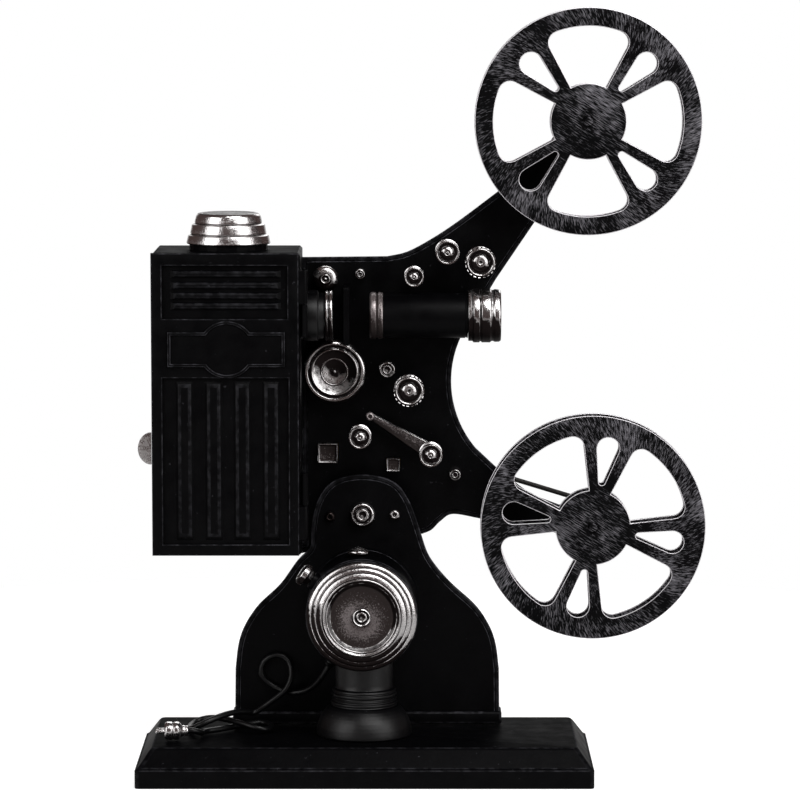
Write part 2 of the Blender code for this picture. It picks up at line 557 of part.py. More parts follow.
def door():
    """The lamphouse door, with louvres, a blank name plate and ribs on its face.

    It is drawn from its hinge axis, so X is measured from there, Y is the height and Z comes forward.
    """
    at = (*HINGE, 0)
    x0 = HINGE[0]
    back, face = HINGE[1] - LAMP_FRONT + GAP, HINGE[1] - DOOR_FRONT
    left, right = LAMP_LEFT - x0, DOOR_EDGE - x0
    outline = [(left, LAMP_BOTTOM), (right, LAMP_BOTTOM), (right, LAMP_TOP), (left, LAMP_TOP)]
    shape = ease(plate(outline, back, face), 0.8, 1, lambda p: p.z > face - 0.01)
    made = place("lamphouse_door", shape, BLACK, at, FRONT)

    floor = face - PANEL_DEPTH
    for low, high in (LOUVRE_PANEL, RIB_PANEL):
        recess = block((low[0] - x0, low[1], floor), (high[0] - x0, high[1], face + 2))
        cut(made, helper(recess, at, FRONT))
    ridges = bmesh.new()
    foot, crest = floor - 0.3, face - 0.2
    start, end = (x - x0 for x in LOUVRE_ENDS)
    for z in LOUVRES:
        ridge(ridges, z, LOUVRE_HALF, start, end, foot, crest, upright=False)
    for x in RIBS:
        ridge(ridges, x - x0, RIB_HALF, *RIB_ENDS, foot, crest, upright=True)
    join(made, helper(ridges, at, FRONT))

    for inset, low, high, operation in ((0, face - 1, face + 1.2, join), (1.6, face + 0.4, face + 2, cut)):
        operation(made, helper(plate(name_plate(inset, x0), low, high), at, FRONT))

    for low, high in DOOR_KNUCKLES:
        leaf = block((right - 1, low, 0.6), (0.2, high, face - 0.6))
        barrel = helper(rod(KNUCKLE, low, high, 12), at)
        join(made, helper(leaf, at, FRONT), barrel)
    cut(made, helper(rod(HINGE_PIN + GAP, LAMP_BOTTOM - 5, LAMP_TOP + 5, 12), at))

    reach = (PULL_HIGH - PULL_LOW) / 2
    middle = (LAMP_LEFT - GAP, PULL_LOW + reach)
    stretch = (PULL_REACH + middle[0]) / reach
    bow = [(middle[0] + (x - middle[0]) * stretch - x0, z) for x, z in arc(middle, reach, 90, 270, 13)]
    grip = ease(plate(bow, 0.8, 3.4), 0.5, 1, lambda p: p.x < left - 1)
    place("door_pull", grip, SILVER, at, FRONT)


def name_plate(inset, x0):
    """A bar with a round swelling in its middle, as an outline that can be inset."""
    (left, low), (right, high) = NAME_BAR
    centre, radius = (NAME_DISC[0] - x0, NAME_DISC[1]), NAME_DISC[2] - inset
    left, right, low, high = left + inset - x0, right - inset - x0, low + inset, high - inset
    rise = math.degrees(math.asin((high - centre[1]) / radius))
    fall = math.degrees(math.asin((centre[1] - low) / radius))
    above = arc(centre, radius, rise, 180 - rise, 8)
    below = arc(centre, radius, 180 + fall, 360 - fall, 8)
    return [(right, low), (right, high), *above, (left, high), (left, low), *below]


def lamphouse():
    """The lamphouse shell, open in front, with its chimney, lamp and mirror."""
    low, high = (LAMP_LEFT, LAMP_FRONT, LAMP_BOTTOM), (LAMP_RIGHT, LAMP_BACK, LAMP_TOP)
    shape = ease(block(low, high), 1.2, 1, lambda p: p.y > LAMP_FRONT + 1 or p.z > LAMP_TOP - 1)
    made = place("lamphouse_body", shape, BLACK)
    wall = LAMP_WALL
    hollow = block(
        (low[0] + wall, low[1] - 1, low[2] + wall),
        (high[0] - wall, high[1] - wall, high[2] - wall),
    )
    chimney = (LAMP_X, FILM_Y - 2, 0)
    join(made, helper(rod(CHIMNEY_NECK, LAMP_TOP - 1, LAMP_TOP + CHIMNEY_RISE, 24), chimney))
    for (bottom, top), (door_bottom, door_top) in zip(BODY_KNUCKLES, DOOR_KNUCKLES):
        leaf = block((LAMP_RIGHT - 1, LAMP_FRONT + 0.2, bottom), (HINGE[0] + 0.4, LAMP_FRONT + 2.4, top))
        pin = rod(HINGE_PIN, min(bottom + 3, door_bottom - 1), max(top - 3, door_top + 1), 12)
        knuckle = rod(KNUCKLE, bottom, top, 12)
        join(made, helper(leaf), helper(knuckle, (*HINGE, 0)), helper(pin, (*HINGE, 0)))
    cut(
        made,
        helper(hollow),
        helper(rod(CHIMNEY_BORE, LAMP_TOP - 5, LAMP_TOP + 5, 16), chimney),
        helper(rod(CONDENSER + GAP, LAMP_RIGHT - 5, LAMP_RIGHT + 1, 20), (0, FILM_Y, LENS_Z), ALONG_X),
    )

    rim = LAMP_TOP + CHIMNEY_RISE + GAP
    inside = CHIMNEY_BORE - 0.5
    cap = [(0, rim + 12.3), (inside, rim + 12.3), (inside, rim), (20.4, rim), (20.4, rim + 3.2)]
    cap += [(18.4, rim + 4.2), (18.4, rim + 8.8), (16.2, rim + 10), (16.2, rim + 13), (14.6, rim + 14.6)]
    cap += [(0, rim + 15.4)]
    place("chimney_cap", turned(cap, 22), SILVER, chimney)

    floor = LAMP_BOTTOM + LAMP_WALL + GAP
    post = [(0, floor), (12, floor), (12, floor + 3), (6, floor + 4), (6, 176), (9, 178)]
    post += [(9, 190), (0, 190)]
    place("lamp_socket", turned(post, 14), BRASS, (LAMP_X, FILM_Y, 0))
    bulb = [(0, 190.3), (7.5, 190.3), (7.5, 199), (12, 203), (12.5, 206), (12.5, 232), (9, 240)]
    bulb += [(3, 243.5), (0, 244)]
    place("lamp_bulb", turned(bulb, 14), GLASS, (LAMP_X, FILM_Y, 0))
    wall_face = LAMP_LEFT + LAMP_WALL + GAP
    mirror = [(0, wall_face), (3, wall_face), (3, -92.5), (12, -91), (20, -86.5), (20, -85)]
    mirror += [(12, -89.4), (0, -91)]
    on_lens("lamp_reflector", mirror, STEEL, 14, closed=False)


def optics():
    """Condenser, film gate and projection lens, all on one axis."""
    bore = CONDENSER_BORE
    tube = [(bore, -33.6), (CONDENSER, -33.6), (CONDENSER, -23), (11.2, -22.6), (11.2, -20), (bore, -20)]
    on_lens("condenser_tube", tube, BLACK)
    ring = [(bore, -19.7), (11.8, -19.7), (12.3, -19.2), (12.3, -16), (11.6, -15.5), (10, -15.5)]
    ring += [(bore, -16.4)]
    on_lens("condenser_ring", ring, SILVER)
    on_lens("condenser_lens", [(0, -31.5), (8.7, -29.5), (8.7, -28), (0, -25.5)], GLASS, 24, closed=False)

    low, high = (-10.5, 6, LENS_Z - 13.5), (-7.5, SEAT, LENS_Z + 14)
    gate = place("gate_plate", block(low, high), BLACK)
    cut(gate, helper(block((-12, FILM_Y - 4, LENS_Z - 3), (-6, FILM_Y + 4, LENS_Z + 3))))

    bore = BARREL_BORE
    ring = [(bore, 2.2), (10.6, 2.2), (11.4, 3), (11.4, 7.6), (BARREL, 8.7), (bore, 8.7)]
    on_lens("lens_rear_ring", ring, SILVER)
    sleeve = [(bore, BARREL_START), (BARREL, BARREL_START), (BARREL, BARREL_END), (bore, BARREL_END)]
    holder = on_lens("lens_holder", sleeve, BLACK)
    saddle = block((16, FILM_Y + BARREL - 1.5, LENS_Z - 6), (44, SEAT, LENS_Z + 6))
    join(holder, helper(saddle))
    shoulder = BARREL_END + GAP
    focus = [(6.5, 14), (bore - GAP, 14), (bore - GAP, shoulder), (12.4, shoulder), (12.4, 52.4), (13.15, 53)]
    focus += [(13.15, 61), (12.4, 62.2), (12.9, 63.5), (12.2, 66.1), (10, 66.1), (8.8, 63), (6.5, 63)]
    on_lens("lens_focus_tube", focus, SILVER)
    on_lens("lens_glass", [(0, 57), (6.2, 58.6), (6.2, 60.6), (0, 62.4)], GLASS, 20, closed=False)


def sprocket(name, axis):
    """A sprocket with two toothed rims, its shaft and the pulley on the far end."""
    teeth = toothed(SPROCKET_TEETH, ((SPROCKET_TIP, 0), (SPROCKET_ROOT, 0.5)))
    around = [math.atan2(y, x) for x, y in teeth]

    def ring(radius, y):
        return [(radius * math.cos(a), radius * math.sin(a), -y) for a in around]

    def rim(y):
        return [(x, z, -y) for x, z in teeth]

    front, back = ROLL_FRONT, ROLL_BACK
    loops = [rim(front), rim(front + 2), ring(SPROCKET_DRUM, front + 2), ring(SPROCKET_DRUM, back - 2)]
    loops += [rim(back - 2), rim(back)]
    at = (axis[0], 0, axis[1])
    made = place(name, loft(loops), SILVER, at, FRONT)
    shaft = [(0, front - 1), (3.2, front - 1), (3.2, front + 1), (SHAFT, front + 1)]
    shaft += [(SHAFT, BELT_Y - SHEAVE_HALF), *sheave(FEED_PULLEY, BELT_Y), (0, BELT_Y + SHEAVE_HALF)]
    join(made, helper(turned(along_y(shaft), 10), at, FRONT))


def film_path():
    """Everything on the face of the frame that guides or moves the film."""
    sprocket("upper_sprocket", UPPER_SPROCKET)
    sprocket("lower_sprocket", LOWER_SPROCKET)
    belt("feed_belt", LOWER_SPROCKET, FEED_PULLEY, UPPER_SPROCKET, FEED_PULLEY)
    front, back = ROLL_FRONT, ROLL_BACK
    for name, (axis, radius) in ROLLERS.items():
        core = radius - 1.3
        spool = [(0, front - 0.4), (radius * 0.35, front - 0.4), (radius * 0.6, front + 0.5)]
        spool += [(radius, front), (radius, front + 1.6), (core, front + 2)]
        spool += [(core, back - 2), (radius, back - 1.6), (radius, back)]
        spool += [(JOURNAL, back), (JOURNAL, FRAME_BACK - 2), (0, FRAME_BACK - 2)]
        on_y(name, axis, spool, SILVER, 12)
    for name, (axis, radius) in STUDS.items():
        pin = [(0, STUD_FRONT), (radius * 0.6, STUD_FRONT), (radius, STUD_FRONT + 1), (radius, SEAT)]
        pin += [(STUD_SHANK, SEAT), (STUD_SHANK, SEAT + 4), (0, SEAT + 4)]
        on_y(name, axis, pin, SILVER, 12)
    knob = [(0, 20.5), (3.8, 20.5), (4.6, 21.6), (7, 22.4), (9.8, 22.6), (10.8, 23.6), (12, 23.6)]
    knob += [(12.8, 22.8), (15.5, 24.0), (15.5, 29), (14, SEAT), (SHAFT, SEAT)]
    knob += [(SHAFT, GEAR_BACK + 4), (0, GEAR_BACK + 4)]
    on_y("inching_knob", INCHING, knob, SILVER, 22)
    knob = [(0, 22.6), (2, 22.6), (2.6, 23.2), (4.4, 23.2), (5, 22.8), (5.8, 23.2), (6.3, 24.2), (6.3, 29)]
    knob += [(5, SEAT), (FRAMING_SHANK, SEAT), (FRAMING_SHANK, FRAME_BACK - 1), (0, FRAME_BACK - 1)]
    on_y("framing_knob", FRAMING, knob, SILVER, 14)
    for name, ((x, z), width) in BUTTONS.items():
        half = width / 2
        outline = [(-half, -half), (half, -half), (half, half), (-half, half)]
        shape = plate(outline, -BUTTON_END, -BUTTON_FRONT)
        ease(shape, 0.9, 1, lambda p: p.z > -BUTTON_FRONT - 0.01)
        place(name, shape, SILVER, (x, 0, z), FRONT)
    lever()


def lever():
    """The gate lever, which turns on the journal of the roller at its hub."""
    tip = Vector(LEVER_TIP) - Vector(LEVER_HUB)
    along = math.degrees(math.atan2(tip.y, tip.x))
    bar = [*arc((0, 0), 4.6, along + 60, along + 300, 9), *arc(tip, 1.6, along - 80, along + 80, 5)]
    bore = JOURNAL + GAP
    shape = plate(bar, -LEVER_BACK, -LEVER_FRONT, [circle((0, 0), bore, 10)])
    ease(shape, 0.6, 1, lambda p: p.z > -LEVER_FRONT - 0.01 and p.xy.length > bore + 0.5)
    made = place("gate_lever", shape, SILVER, (LEVER_HUB[0], 0, LEVER_HUB[1]), FRONT)
    sunk = LEVER_BACK - 0.5
    boss = turned([(bore, -SEAT), (4.2, -SEAT), (4.2, -sunk), (bore, -sunk)], 10, closed=True)
    join(made, helper(boss, made.location / MM, FRONT))
    front, foot = LEVER_FRONT - 3, LEVER_FRONT + 0.2
    grip = [(0, foot + 0.4), (1.5, foot), (2.2, front + 2), (1.7, front + 0.6), (0, front)]
    join(made, helper(turned(along_y(grip), 8), (LEVER_TIP[0], 0, LEVER_TIP[1]), FRONT))


def window(middle):
    """A reel window: a sector with rounded corners, about an angle in degrees."""
    half, corner = WINDOW_HALF_ANGLE, WINDOW_CORNER
    outer = WINDOW_OUTER - corner
    swing = half - math.degrees(math.asin(corner / outer))
    low, high = [], []
    for side in (-1, 1):
        centre = polar(outer, middle + side * swing)
        turn = middle + side * half
        corner_arc = arc(centre, corner, turn + side * 90, middle + side * swing, 3)
        (low if side < 0 else high).extend(corner_arc)
    rim = arc((0, 0), WINDOW_OUTER, middle - swing, middle + swing, 5)[1:-1]
    hub = arc((0, 0), REEL_HUB, middle + half, middle - half, 4)
    return [*low, *rim, *high[::-1], *hub]


def teardrop(middle):
    """A small hole between two spokes, wider towards the rim."""
    inner, outer = polar(DROP_INNER, middle), polar(DROP_OUTER, middle)
    lean = math.degrees(math.asin((DROP_OUTER_RADIUS - DROP_INNER_RADIUS) / (DROP_OUTER - DROP_INNER)))
    wide = arc(outer, DROP_OUTER_RADIUS, middle - 90 - lean, middle + 90 + lean, 7)
    narrow = arc(inner, DROP_INNER_RADIUS, middle + 90 + lean, middle + 270 - lean, 3)
    return [*wide, *narrow]


def polar(radius, angle):
    turn = math.radians(angle)
    return (radius * math.cos(turn), radius * math.sin(turn))


def reel(name, axis, turn, spindle_tail):
    """A reel of two pierced flanges, on a spindle that turns in the end of an arm."""
    at = (axis[0], 0, axis[1])
    bore = SPINDLE + GAP
    holes = [circle((0, 0), bore, 10)]
    for quarter in range(4):
        holes += [window(turn + 90 * quarter), teardrop(turn + 90 * quarter + 45)]
    rim = circle((0, 0), REEL_RADIUS, 44)
    front, back = FILM_Y - FILM_GAP / 2, FILM_Y + FILM_GAP / 2
    place(f"{name}_front_flange", plate(rim, -front, -front + FLANGE, holes), REEL_STEEL, at, FRONT)
    drum = place(f"{name}_drum", plate(rim, -back - FLANGE, -back, holes), REEL_STEEL, at, FRONT)
    core = [(bore, back + 0.6), (REEL_CORE, back + 0.6), (REEL_CORE, front + GAP), (bore, front + GAP)]
    join(drum, helper(turned(along_y(core), 14, closed=True), at, FRONT))
    stop = back + FLANGE + GAP
    tip = front - FLANGE - 1.0
    spindle = [(0, tip), (1.6, tip), (SPINDLE, tip + 0.8), (SPINDLE, stop), (REEL_STOP, stop)]
    spindle += [(REEL_STOP, SEAT), (REEL_SHAFT, SEAT), *spindle_tail]
    on_y(f"{name}_spindle", axis, spindle, REEL_STEEL, 12)


def reels():
    """The feed reel, held by a collar behind its arm, and the take-up reel, driven by a belt."""
    behind, end = FRAME_BACK + GAP, FRAME_BACK + 6
    collar = [(REEL_SHAFT, behind), (REEL_STOP, behind), (REEL_STOP, end), (0, end)]
    reel("upper_reel", UPPER_REEL, 0, collar)
    pulley = [(REEL_SHAFT, BELT_Y - SHEAVE_HALF), *sheave(TAKE_UP_PULLEY, BELT_Y)]
    reel("lower_reel", LOWER_REEL, LOWER_REEL_TURN, [*pulley, (0, BELT_Y + SHEAVE_HALF)])
    belt("take_up_belt", IDLER, TAKE_UP_PULLEY, LOWER_REEL, TAKE_UP_PULLEY)


def hank_points():
    """A bow of two loops: the lead crosses over to the left loop, the right one, and out below."""
    rest = BASE_HEIGHT + CORD + GAP
    start, end = math.pi / 2 - HANK_TAIL, 5 * math.pi / 2 + HANK_TAIL
    count = 2 * LOOP_POINTS + 6
    made = []
    for i in range(count + 1):
        t = start + (end - start) * i / count
        layer = 2 - (t - math.pi / 2) / math.pi  # two layers up on the first crossing, none on the third
        lift = max(layer, 0) * abs(math.sin(t)) ** 2
        x = HANK[0] + HANK_HALF_LENGTH * math.cos(t)
        y = HANK[1] + HANK_WIDTH / 2 * math.sin(2 * t)
        made.append((x, y, rest + HANK_LAYER * lift))
    return made


def least_gap(points, radius, apart):
    """The smallest clear distance between stretches of a tube that are not neighbours along it."""
    spots = [Vector(p) for p in points]
    reach = [0.0]
    for a, b in zip(spots, spots[1:]):
        reach.append(reach[-1] + (b - a).length)
    pairs = ((i, j) for i in range(len(spots)) for j in range(i) if reach[i] - reach[j] > apart)
    return min((spots[i] - spots[j]).length for i, j in pairs) - 2 * radius


def leaving(before, end):
    """Two points straight on from the end of a tube, the first one just clear of its face."""
    onward = (Vector(end) - Vector(before)).normalized()
    return [tuple(Vector(end) + onward * reach) for reach in (2 * GAP, 3 * CORD)]


def mains_lead():
    """The lead from the motor, with the curl, the hank and the plug that lie on the base."""
    gland = from_motor(GLAND_ANGLE, GLAND_REACH + GAP)
    hank = hank_points()
    lead = smooth_line([(gland[0], GLAND_Y, gland[1]), *LEAD_KNOTS, *leaving(hank[1], hank[0])[::-1]], 2)
    cord("power_cord", lead, CORD, RUBBER)
    cord("cord_hank", hank, CORD, RUBBER)
    height = BASE_HEIGHT + GAP + PLUG_RADIUS
    entry = [(PLUG[0] + reach, PLUG[1], height) for reach in (8.6, 6.3)]
    tail = smooth_line([*leaving(hank[-2], hank[-1]), *TAIL_KNOTS, *entry], 2)
    cord("cord_tail", tail, CORD, RUBBER)
    whole = [*lead, *hank, *tail]
    print(f"least gap of the hank to itself {least_gap(hank, CORD, 4 * CORD):.2f} mm")
    print(f"least gap of the lead to itself {least_gap(whole, CORD, 4 * CORD):.2f} mm")
    length = sum((Vector(b) - Vector(a)).length for a, b in zip(whole, whole[1:]))
    print(f"length of the lead {length:.0f} mm")

    body = [(0, -6), (2.4, -6), (2.6, -3), (PLUG_RADIUS, -1.5), (PLUG_RADIUS, 4.5), (3.8, 5.2), (0, 5.2)]
    made = place("plug_body", turned(body, 12), SILVER, (*PLUG, height), AGAINST_X)
    for side in (-1, 1):
        pin_at = (PLUG[0], PLUG[1] + side * PIN_SPREAD, height)
        join(made, helper(rod(PIN_RADIUS, 4, PIN_REACH, 8), pin_at, AGAINST_X))


base()
stand()
motor()
frame()
gears_and_cover()
lamphouse()
door()
optics()
film_path()
reels()
mains_lead()
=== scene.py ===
"""Looks of an antique table-top film projector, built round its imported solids.

Shapes are drawn in millimetres, and piece() turns them into metres in the solids' own frame. +X runs
from the lamphouse to the lens, +Y away from the threading side and +Z up. A point on an axis along Y
is given as (X, Z).
"""

import json
import math

import bmesh
import bpy
from mathutils import Matrix, Vector


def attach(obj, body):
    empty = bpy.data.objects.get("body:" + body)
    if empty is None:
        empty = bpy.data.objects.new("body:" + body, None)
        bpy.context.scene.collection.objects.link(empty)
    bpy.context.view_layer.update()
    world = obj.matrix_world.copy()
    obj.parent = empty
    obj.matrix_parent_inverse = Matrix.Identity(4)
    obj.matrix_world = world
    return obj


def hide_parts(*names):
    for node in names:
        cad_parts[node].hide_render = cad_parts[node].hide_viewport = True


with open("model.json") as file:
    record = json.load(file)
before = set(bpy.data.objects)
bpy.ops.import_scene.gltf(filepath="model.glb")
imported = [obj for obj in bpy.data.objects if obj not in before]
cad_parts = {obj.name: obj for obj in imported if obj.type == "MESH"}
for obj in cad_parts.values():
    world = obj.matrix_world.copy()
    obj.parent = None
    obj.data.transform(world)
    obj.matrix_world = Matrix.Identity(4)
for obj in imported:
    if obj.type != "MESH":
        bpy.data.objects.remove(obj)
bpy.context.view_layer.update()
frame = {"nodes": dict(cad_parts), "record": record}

MM = 0.001
TURN = 2 * math.pi

# Air between two pieces, the distance at which two corners are one, and the angle that shows as a crease
GAP, SAME_SPOT, CREASE = 0.3, 0.0005, math.radians(35)

# Which way a shape's own +Z is turned
UPRIGHT = Matrix.Identity(4)
FORWARD = Matrix.Rotation(math.pi / 2, 4, "X")
ALONG_X = Matrix.Rotation(math.pi / 2, 4, "Y")
AGAINST_X = Matrix.Rotation(-math.pi / 2, 4, "Y")

# Layers from the threading side to the back, as Y
DOOR_FRONT, LAMP_FRONT, FILM_Y = -17.3, -13.0, 15.0
BRACKET_FRONT, BRACKET_BACK = 22.0, 31.0
FRAME_FRONT, FRAME_BACK = 31.3, 39.3
BELT_Y, BELT_RADIUS, SHEAVE_HALF = 60.5, 1.2, 2.8
SEAT = FRAME_FRONT - GAP

# Where the pieces stand
BASE_LENGTH, BASE_DEPTH, BASE_HEIGHT, BASE_BAND = 220.0, 92.0, 18.5, 9.0
ON_BASE = BASE_HEIGHT + GAP
PIVOT, MOTOR = (-1.5, 123.0), (-1.5, 79.6)
MOTOR_RADIUS, MOTOR_FRONT, MOTOR_BACK = 27.0, -22.0, 21.7
PEDESTAL, OILER = (-0.5, -4.0), (-3.3, -5.0)
LOCK_LEFT, LOCK_RIGHT = (-17.5, 121.8), (14.3, 122.8)
KNOB_ANGLE, KNOB_Y, KNOB_REACH = 146.0, -12.0, 29.2
GLAND_ANGLE, GLAND_Y, GLAND_REACH = 240.5, 6.0, 33.5
LAMP_LEFT, LAMP_RIGHT, LAMP_BOTTOM, LAMP_TOP = -102.4, -31.0, 108.3, 254.4
LAMP_SHEET, LAMP_ROOF = 2.0, 2.4
LAMP_X, CHIMNEY_Y = -66.3, 13.0
HINGE, DOOR_EDGE = (-29.0, -13.2), -31.6
LENS_Z = 221.8
UPPER_REEL, LOWER_REEL = (108.1, 316.3), (111.4, 118.2)
LOWER_REEL_TURN = 34.5
UPPER_SPROCKET, LOWER_SPROCKET = (56.1, 247.9), (21.4, 185.1)
INCHING, FRAMING, IDLER = (-15.2, 193.1), (-19.6, 238.9), (4.25, 150.9)
LEVER_HUB, LEVER_TIP = (32.0, 153.5), (2.3, 171.3)
LEVER_FRONT, LEVER_BACK = 24.3, 27.3

# Axis and radius of each roller and stud
ROLLERS = {
    "top_guide_roller": ((40.0, 252.7), 6.0),
    "lens_guide_roller": ((23.8, 240.8), 4.9),
    "lower_guide_roller": ((-2.6, 162.2), 5.6),
    "lever_roller": (LEVER_HUB, 5.8),
}
STUDS = {
    "upper_stud": ((-2.5, 241.4), 2.5),
    "loop_stud": ((10.7, 194.5), 4.1),
    "lower_stud": ((44.1, 142.6), 2.9),
}

# Axis and width of each push button
BUTTONS = {
    "motor_button": ((-18.6, 152.3), 9.7),
    "lamp_button": ((13.6, 146.6), 6.3),
}

# Radii of the reels and of the holes in them, and half the angle of a window
REEL_RADIUS, CORE_RADIUS, REEL_BORE, FLANGE = 55.0, 16.0, 2.7, 1.2
WINDOW_INNER, WINDOW_OUTER, WINDOW_CORNER, WINDOW_HALF = 18.4, 46.0, 5.5, 28.0
DROP_INNER, DROP_OUTER, DROP_NARROW, DROP_WIDE = 22.8, 39.5, 1.6, 5.5

# Bores for shafts, and the radii of the belts' pulleys
SHAFT_BORE, AXLE_BORE, ROLLER_BORE, FRAMING_BORE = 3.3, 4.3, 2.3, 2.1
MOTOR_SHEAVE, DRIVE_SHEAVE, SPROCKET_SHEAVE, REEL_SHEAVE = 7, 14, 6, 4

# How far a bare edge is rubbed, and mouldings as (inset, rise, rubbing) from the edge inwards
BARE = 1.6
MOULDING = [(0.5, 0.6, BARE), (1.3, 0.0, 0.3), (0.4, -0.5, 0.0), (0.4, 0.5, BARE)]
LEVER_EDGE = [(0.35, 0.3, 1.0), (0.25, 0.12, 1.0)]

# Camera, as the photograph was taken: from in front and a little above, with a long lens
AIM = Vector((0.017, 0.009, 0.181))
CAMERA_REACH, CAMERA_RISE, CAMERA_LENS, CAMERA_SENSOR = 1.85, 6.4, 170.96, 36


def linear(code):
    """An sRGB hex colour as linear RGBA."""
    parts = [int(code[i : i + 2], 16) / 255 for i in (1, 3, 5)]
    return (*(c / 12.92 if c <= 0.04045 else ((c + 0.055) / 1.055) ** 2.4 for c in parts), 1)


def wire(node, inputs):
    """Sets or links a node's inputs. Another node stands for the first of its outputs in use."""
    for socket, value in inputs.items():
        if isinstance(value, bpy.types.Node):
            value = next(output for output in value.outputs if output.enabled)
        if isinstance(value, bpy.types.NodeSocket):
            node.id_data.links.new(value, node.inputs[socket])
        else:
            node.inputs[socket].default_value = value


def add(tree, kind, inputs=None, **settings):
    """Adds a shader node with its settings and inputs."""
    made = tree.nodes.new("ShaderNode" + kind)
    for name, value in settings.items():
        setattr(made, name, value)
    wire(made, inputs or {})
    return made


def per_mm(size):
    """The texture scale, on coordinates in metres, at which one feature is this many millimetres wide."""
    return 1 / (size * MM)


def blank_material(name):
    """A material with an empty Principled shader, and its tree and shader."""
    made = bpy.data.materials.new(name)
    made.use_nodes = True
    return made, made.node_tree, made.node_tree.nodes["Principled BSDF"]


def black_enamel(name, sheen):
    """Satin black enamel on cast metal: nearly black, a little mottled, with greyed edges and a few scuffs.

    Flat tops gather dust and lose their sheen.
    """
    made, tree, shader = blank_material(name)
    spot = add(tree, "TexCoord")
    place = spot.outputs["Object"]
    rub = add(tree, "Attribute", attribute_name="rub").outputs["Fac"]
    mottle = add(tree, "TexNoise", {"Vector": place, "Scale": per_mm(9), "Detail": 4.0})
    grain = add(tree, "TexNoise", {"Vector": place, "Scale": per_mm(0.9), "Detail": 3.0})
    worn = add(tree, "TexNoise", {"Vector": place, "Scale": per_mm(3.5), "Detail": 5.0})
    chips = add(tree, "TexNoise", {"Vector": place, "Scale": per_mm(2.2), "Detail": 3.0})
    patches = add(tree, "MapRange", {"Value": worn, "From Min": 0.42, "From Max": 0.68, "To Min": 0.1})
    bared = add(tree, "Math", {0: rub, 1: patches}, operation="MULTIPLY")
    scuff = add(tree, "MapRange", {"Value": chips, "From Min": 0.7, "From Max": 0.78, "To Max": 0.6})
    shown = add(tree, "Math", {0: bared, 1: scuff}, operation="MAXIMUM")
    blacks = {"Factor": mottle, "A": linear("#020203"), "B": linear("#080809")}
    body = add(tree, "Mix", blacks, data_type="RGBA")
    colour = add(tree, "Mix", {"Factor": shown, "A": body, "B": linear("#3c3c40")}, data_type="RGBA")
    dull = add(
        tree, "MapRange", {"Value": mottle, "From Min": 0.3, "From Max": 0.7, "To Min": 0.36, "To Max": 0.5}
    )
    upward = add(tree, "SeparateXYZ", {0: spot.outputs["Normal"]}).outputs["Z"]
    dusty = {"From Min": 0.45, "From Max": 0.85, "To Min": sheen, "To Max": 0.0015}
    gloss = add(tree, "MapRange", {"Value": upward, **dusty})
    cast = add(tree, "Bump", {"Height": grain, "Strength": 0.35, "Distance": 0.00012})
    wavy = add(tree, "Bump", {"Height": mottle, "Strength": 0.3, "Distance": 0.0006, "Normal": cast})
    wire(shader, {"Base Color": colour, "Roughness": dull, "Specular IOR Level": gloss, "Normal": wavy})
    return made


def rubbed_silver(name, bright, dark, tarnish, below, bare, blotches=2.2):
    """Old silver leaf: bright where handled, brown-black in grooves, wrinkled and flecked, with painted shade
    below.

    Tarnish darkens all of it, in blotches of so many millimetres. Below is painted shade on what faces down,
    and less on what faces left. Bare is how far it shines as metal.
    """
    # The second number weighs how much a face turned left adds to the painted shade.
    contrast, shade_lean = 2.2, 0.35
    made, tree, shader = blank_material(name)
    spot = add(tree, "TexCoord")
    place = spot.outputs["Object"]
    relief_and_shade = add(tree, "Attribute", attribute_name="relief_and_shade").outputs["Fac"]
    stains = {"Vector": place, "Scale": per_mm(blotches), "Detail": 6.0, "Roughness": 0.7}
    blotch = add(tree, "TexNoise", stains)
    wrinkle = add(tree, "TexNoise", {"Vector": place, "Scale": per_mm(0.8), "Detail": 4.0})
    spread = add(tree, "Math", {0: blotch, 1: contrast, 2: tarnish - contrast / 2}, operation="MULTIPLY_ADD")
    # Painted shade: what faces down, and less what faces left, is painted darker, however the lamps fall.
    facing = add(tree, "SeparateXYZ", {0: spot.outputs["Normal"]}).outputs
    toward_painted_light = add(tree, "Math", {0: facing["X"], 1: shade_lean, 2: facing["Z"]}, operation="MULTIPLY_ADD")
    painted_shade_range = {"Value": toward_painted_light, "From Min": 0.12, "From Max": -0.35, "To Max": below}
    shade = add(tree, "MapRange", painted_shade_range, interpolation_type="SMOOTHSTEP")
    tarnish_and_shade = add(tree, "Math", {0: spread, 1: shade}, operation="ADD")
    fleck = add(tree, "MapRange", {"Value": wrinkle, "From Min": 0.62, "From Max": 0.7, "To Max": 0.5})
    raised = add(tree, "Math", {0: relief_and_shade, 1: fleck}, operation="ADD")
    hollow_and_shade = add(tree, "Math", {0: tarnish_and_shade, 1: raised}, operation="SUBTRACT")
    # The patina mixes real tarnish in the hollows with the painted shade on what faces down.
    patina_and_shade = add(tree, "MapRange", {"Value": hollow_and_shade, "From Max": 0.62}, interpolation_type="SMOOTHSTEP")
    colour = add(tree, "Mix", {"Factor": patina_and_shade, "A": linear(bright), "B": linear(dark)}, data_type="RGBA")
    dull = add(
        tree, "MapRange", {"Value": hollow_and_shade, "From Min": -0.4, "From Max": 0.6, "To Min": 0.2, "To Max": 0.5}
    )
    leaf = add(tree, "Bump", {"Height": wrinkle, "Strength": 0.5, "Distance": 0.00018})
    wire(shader, {"Base Color": colour, "Roughness": dull, "Normal": leaf, "Metallic": bare})
    return made


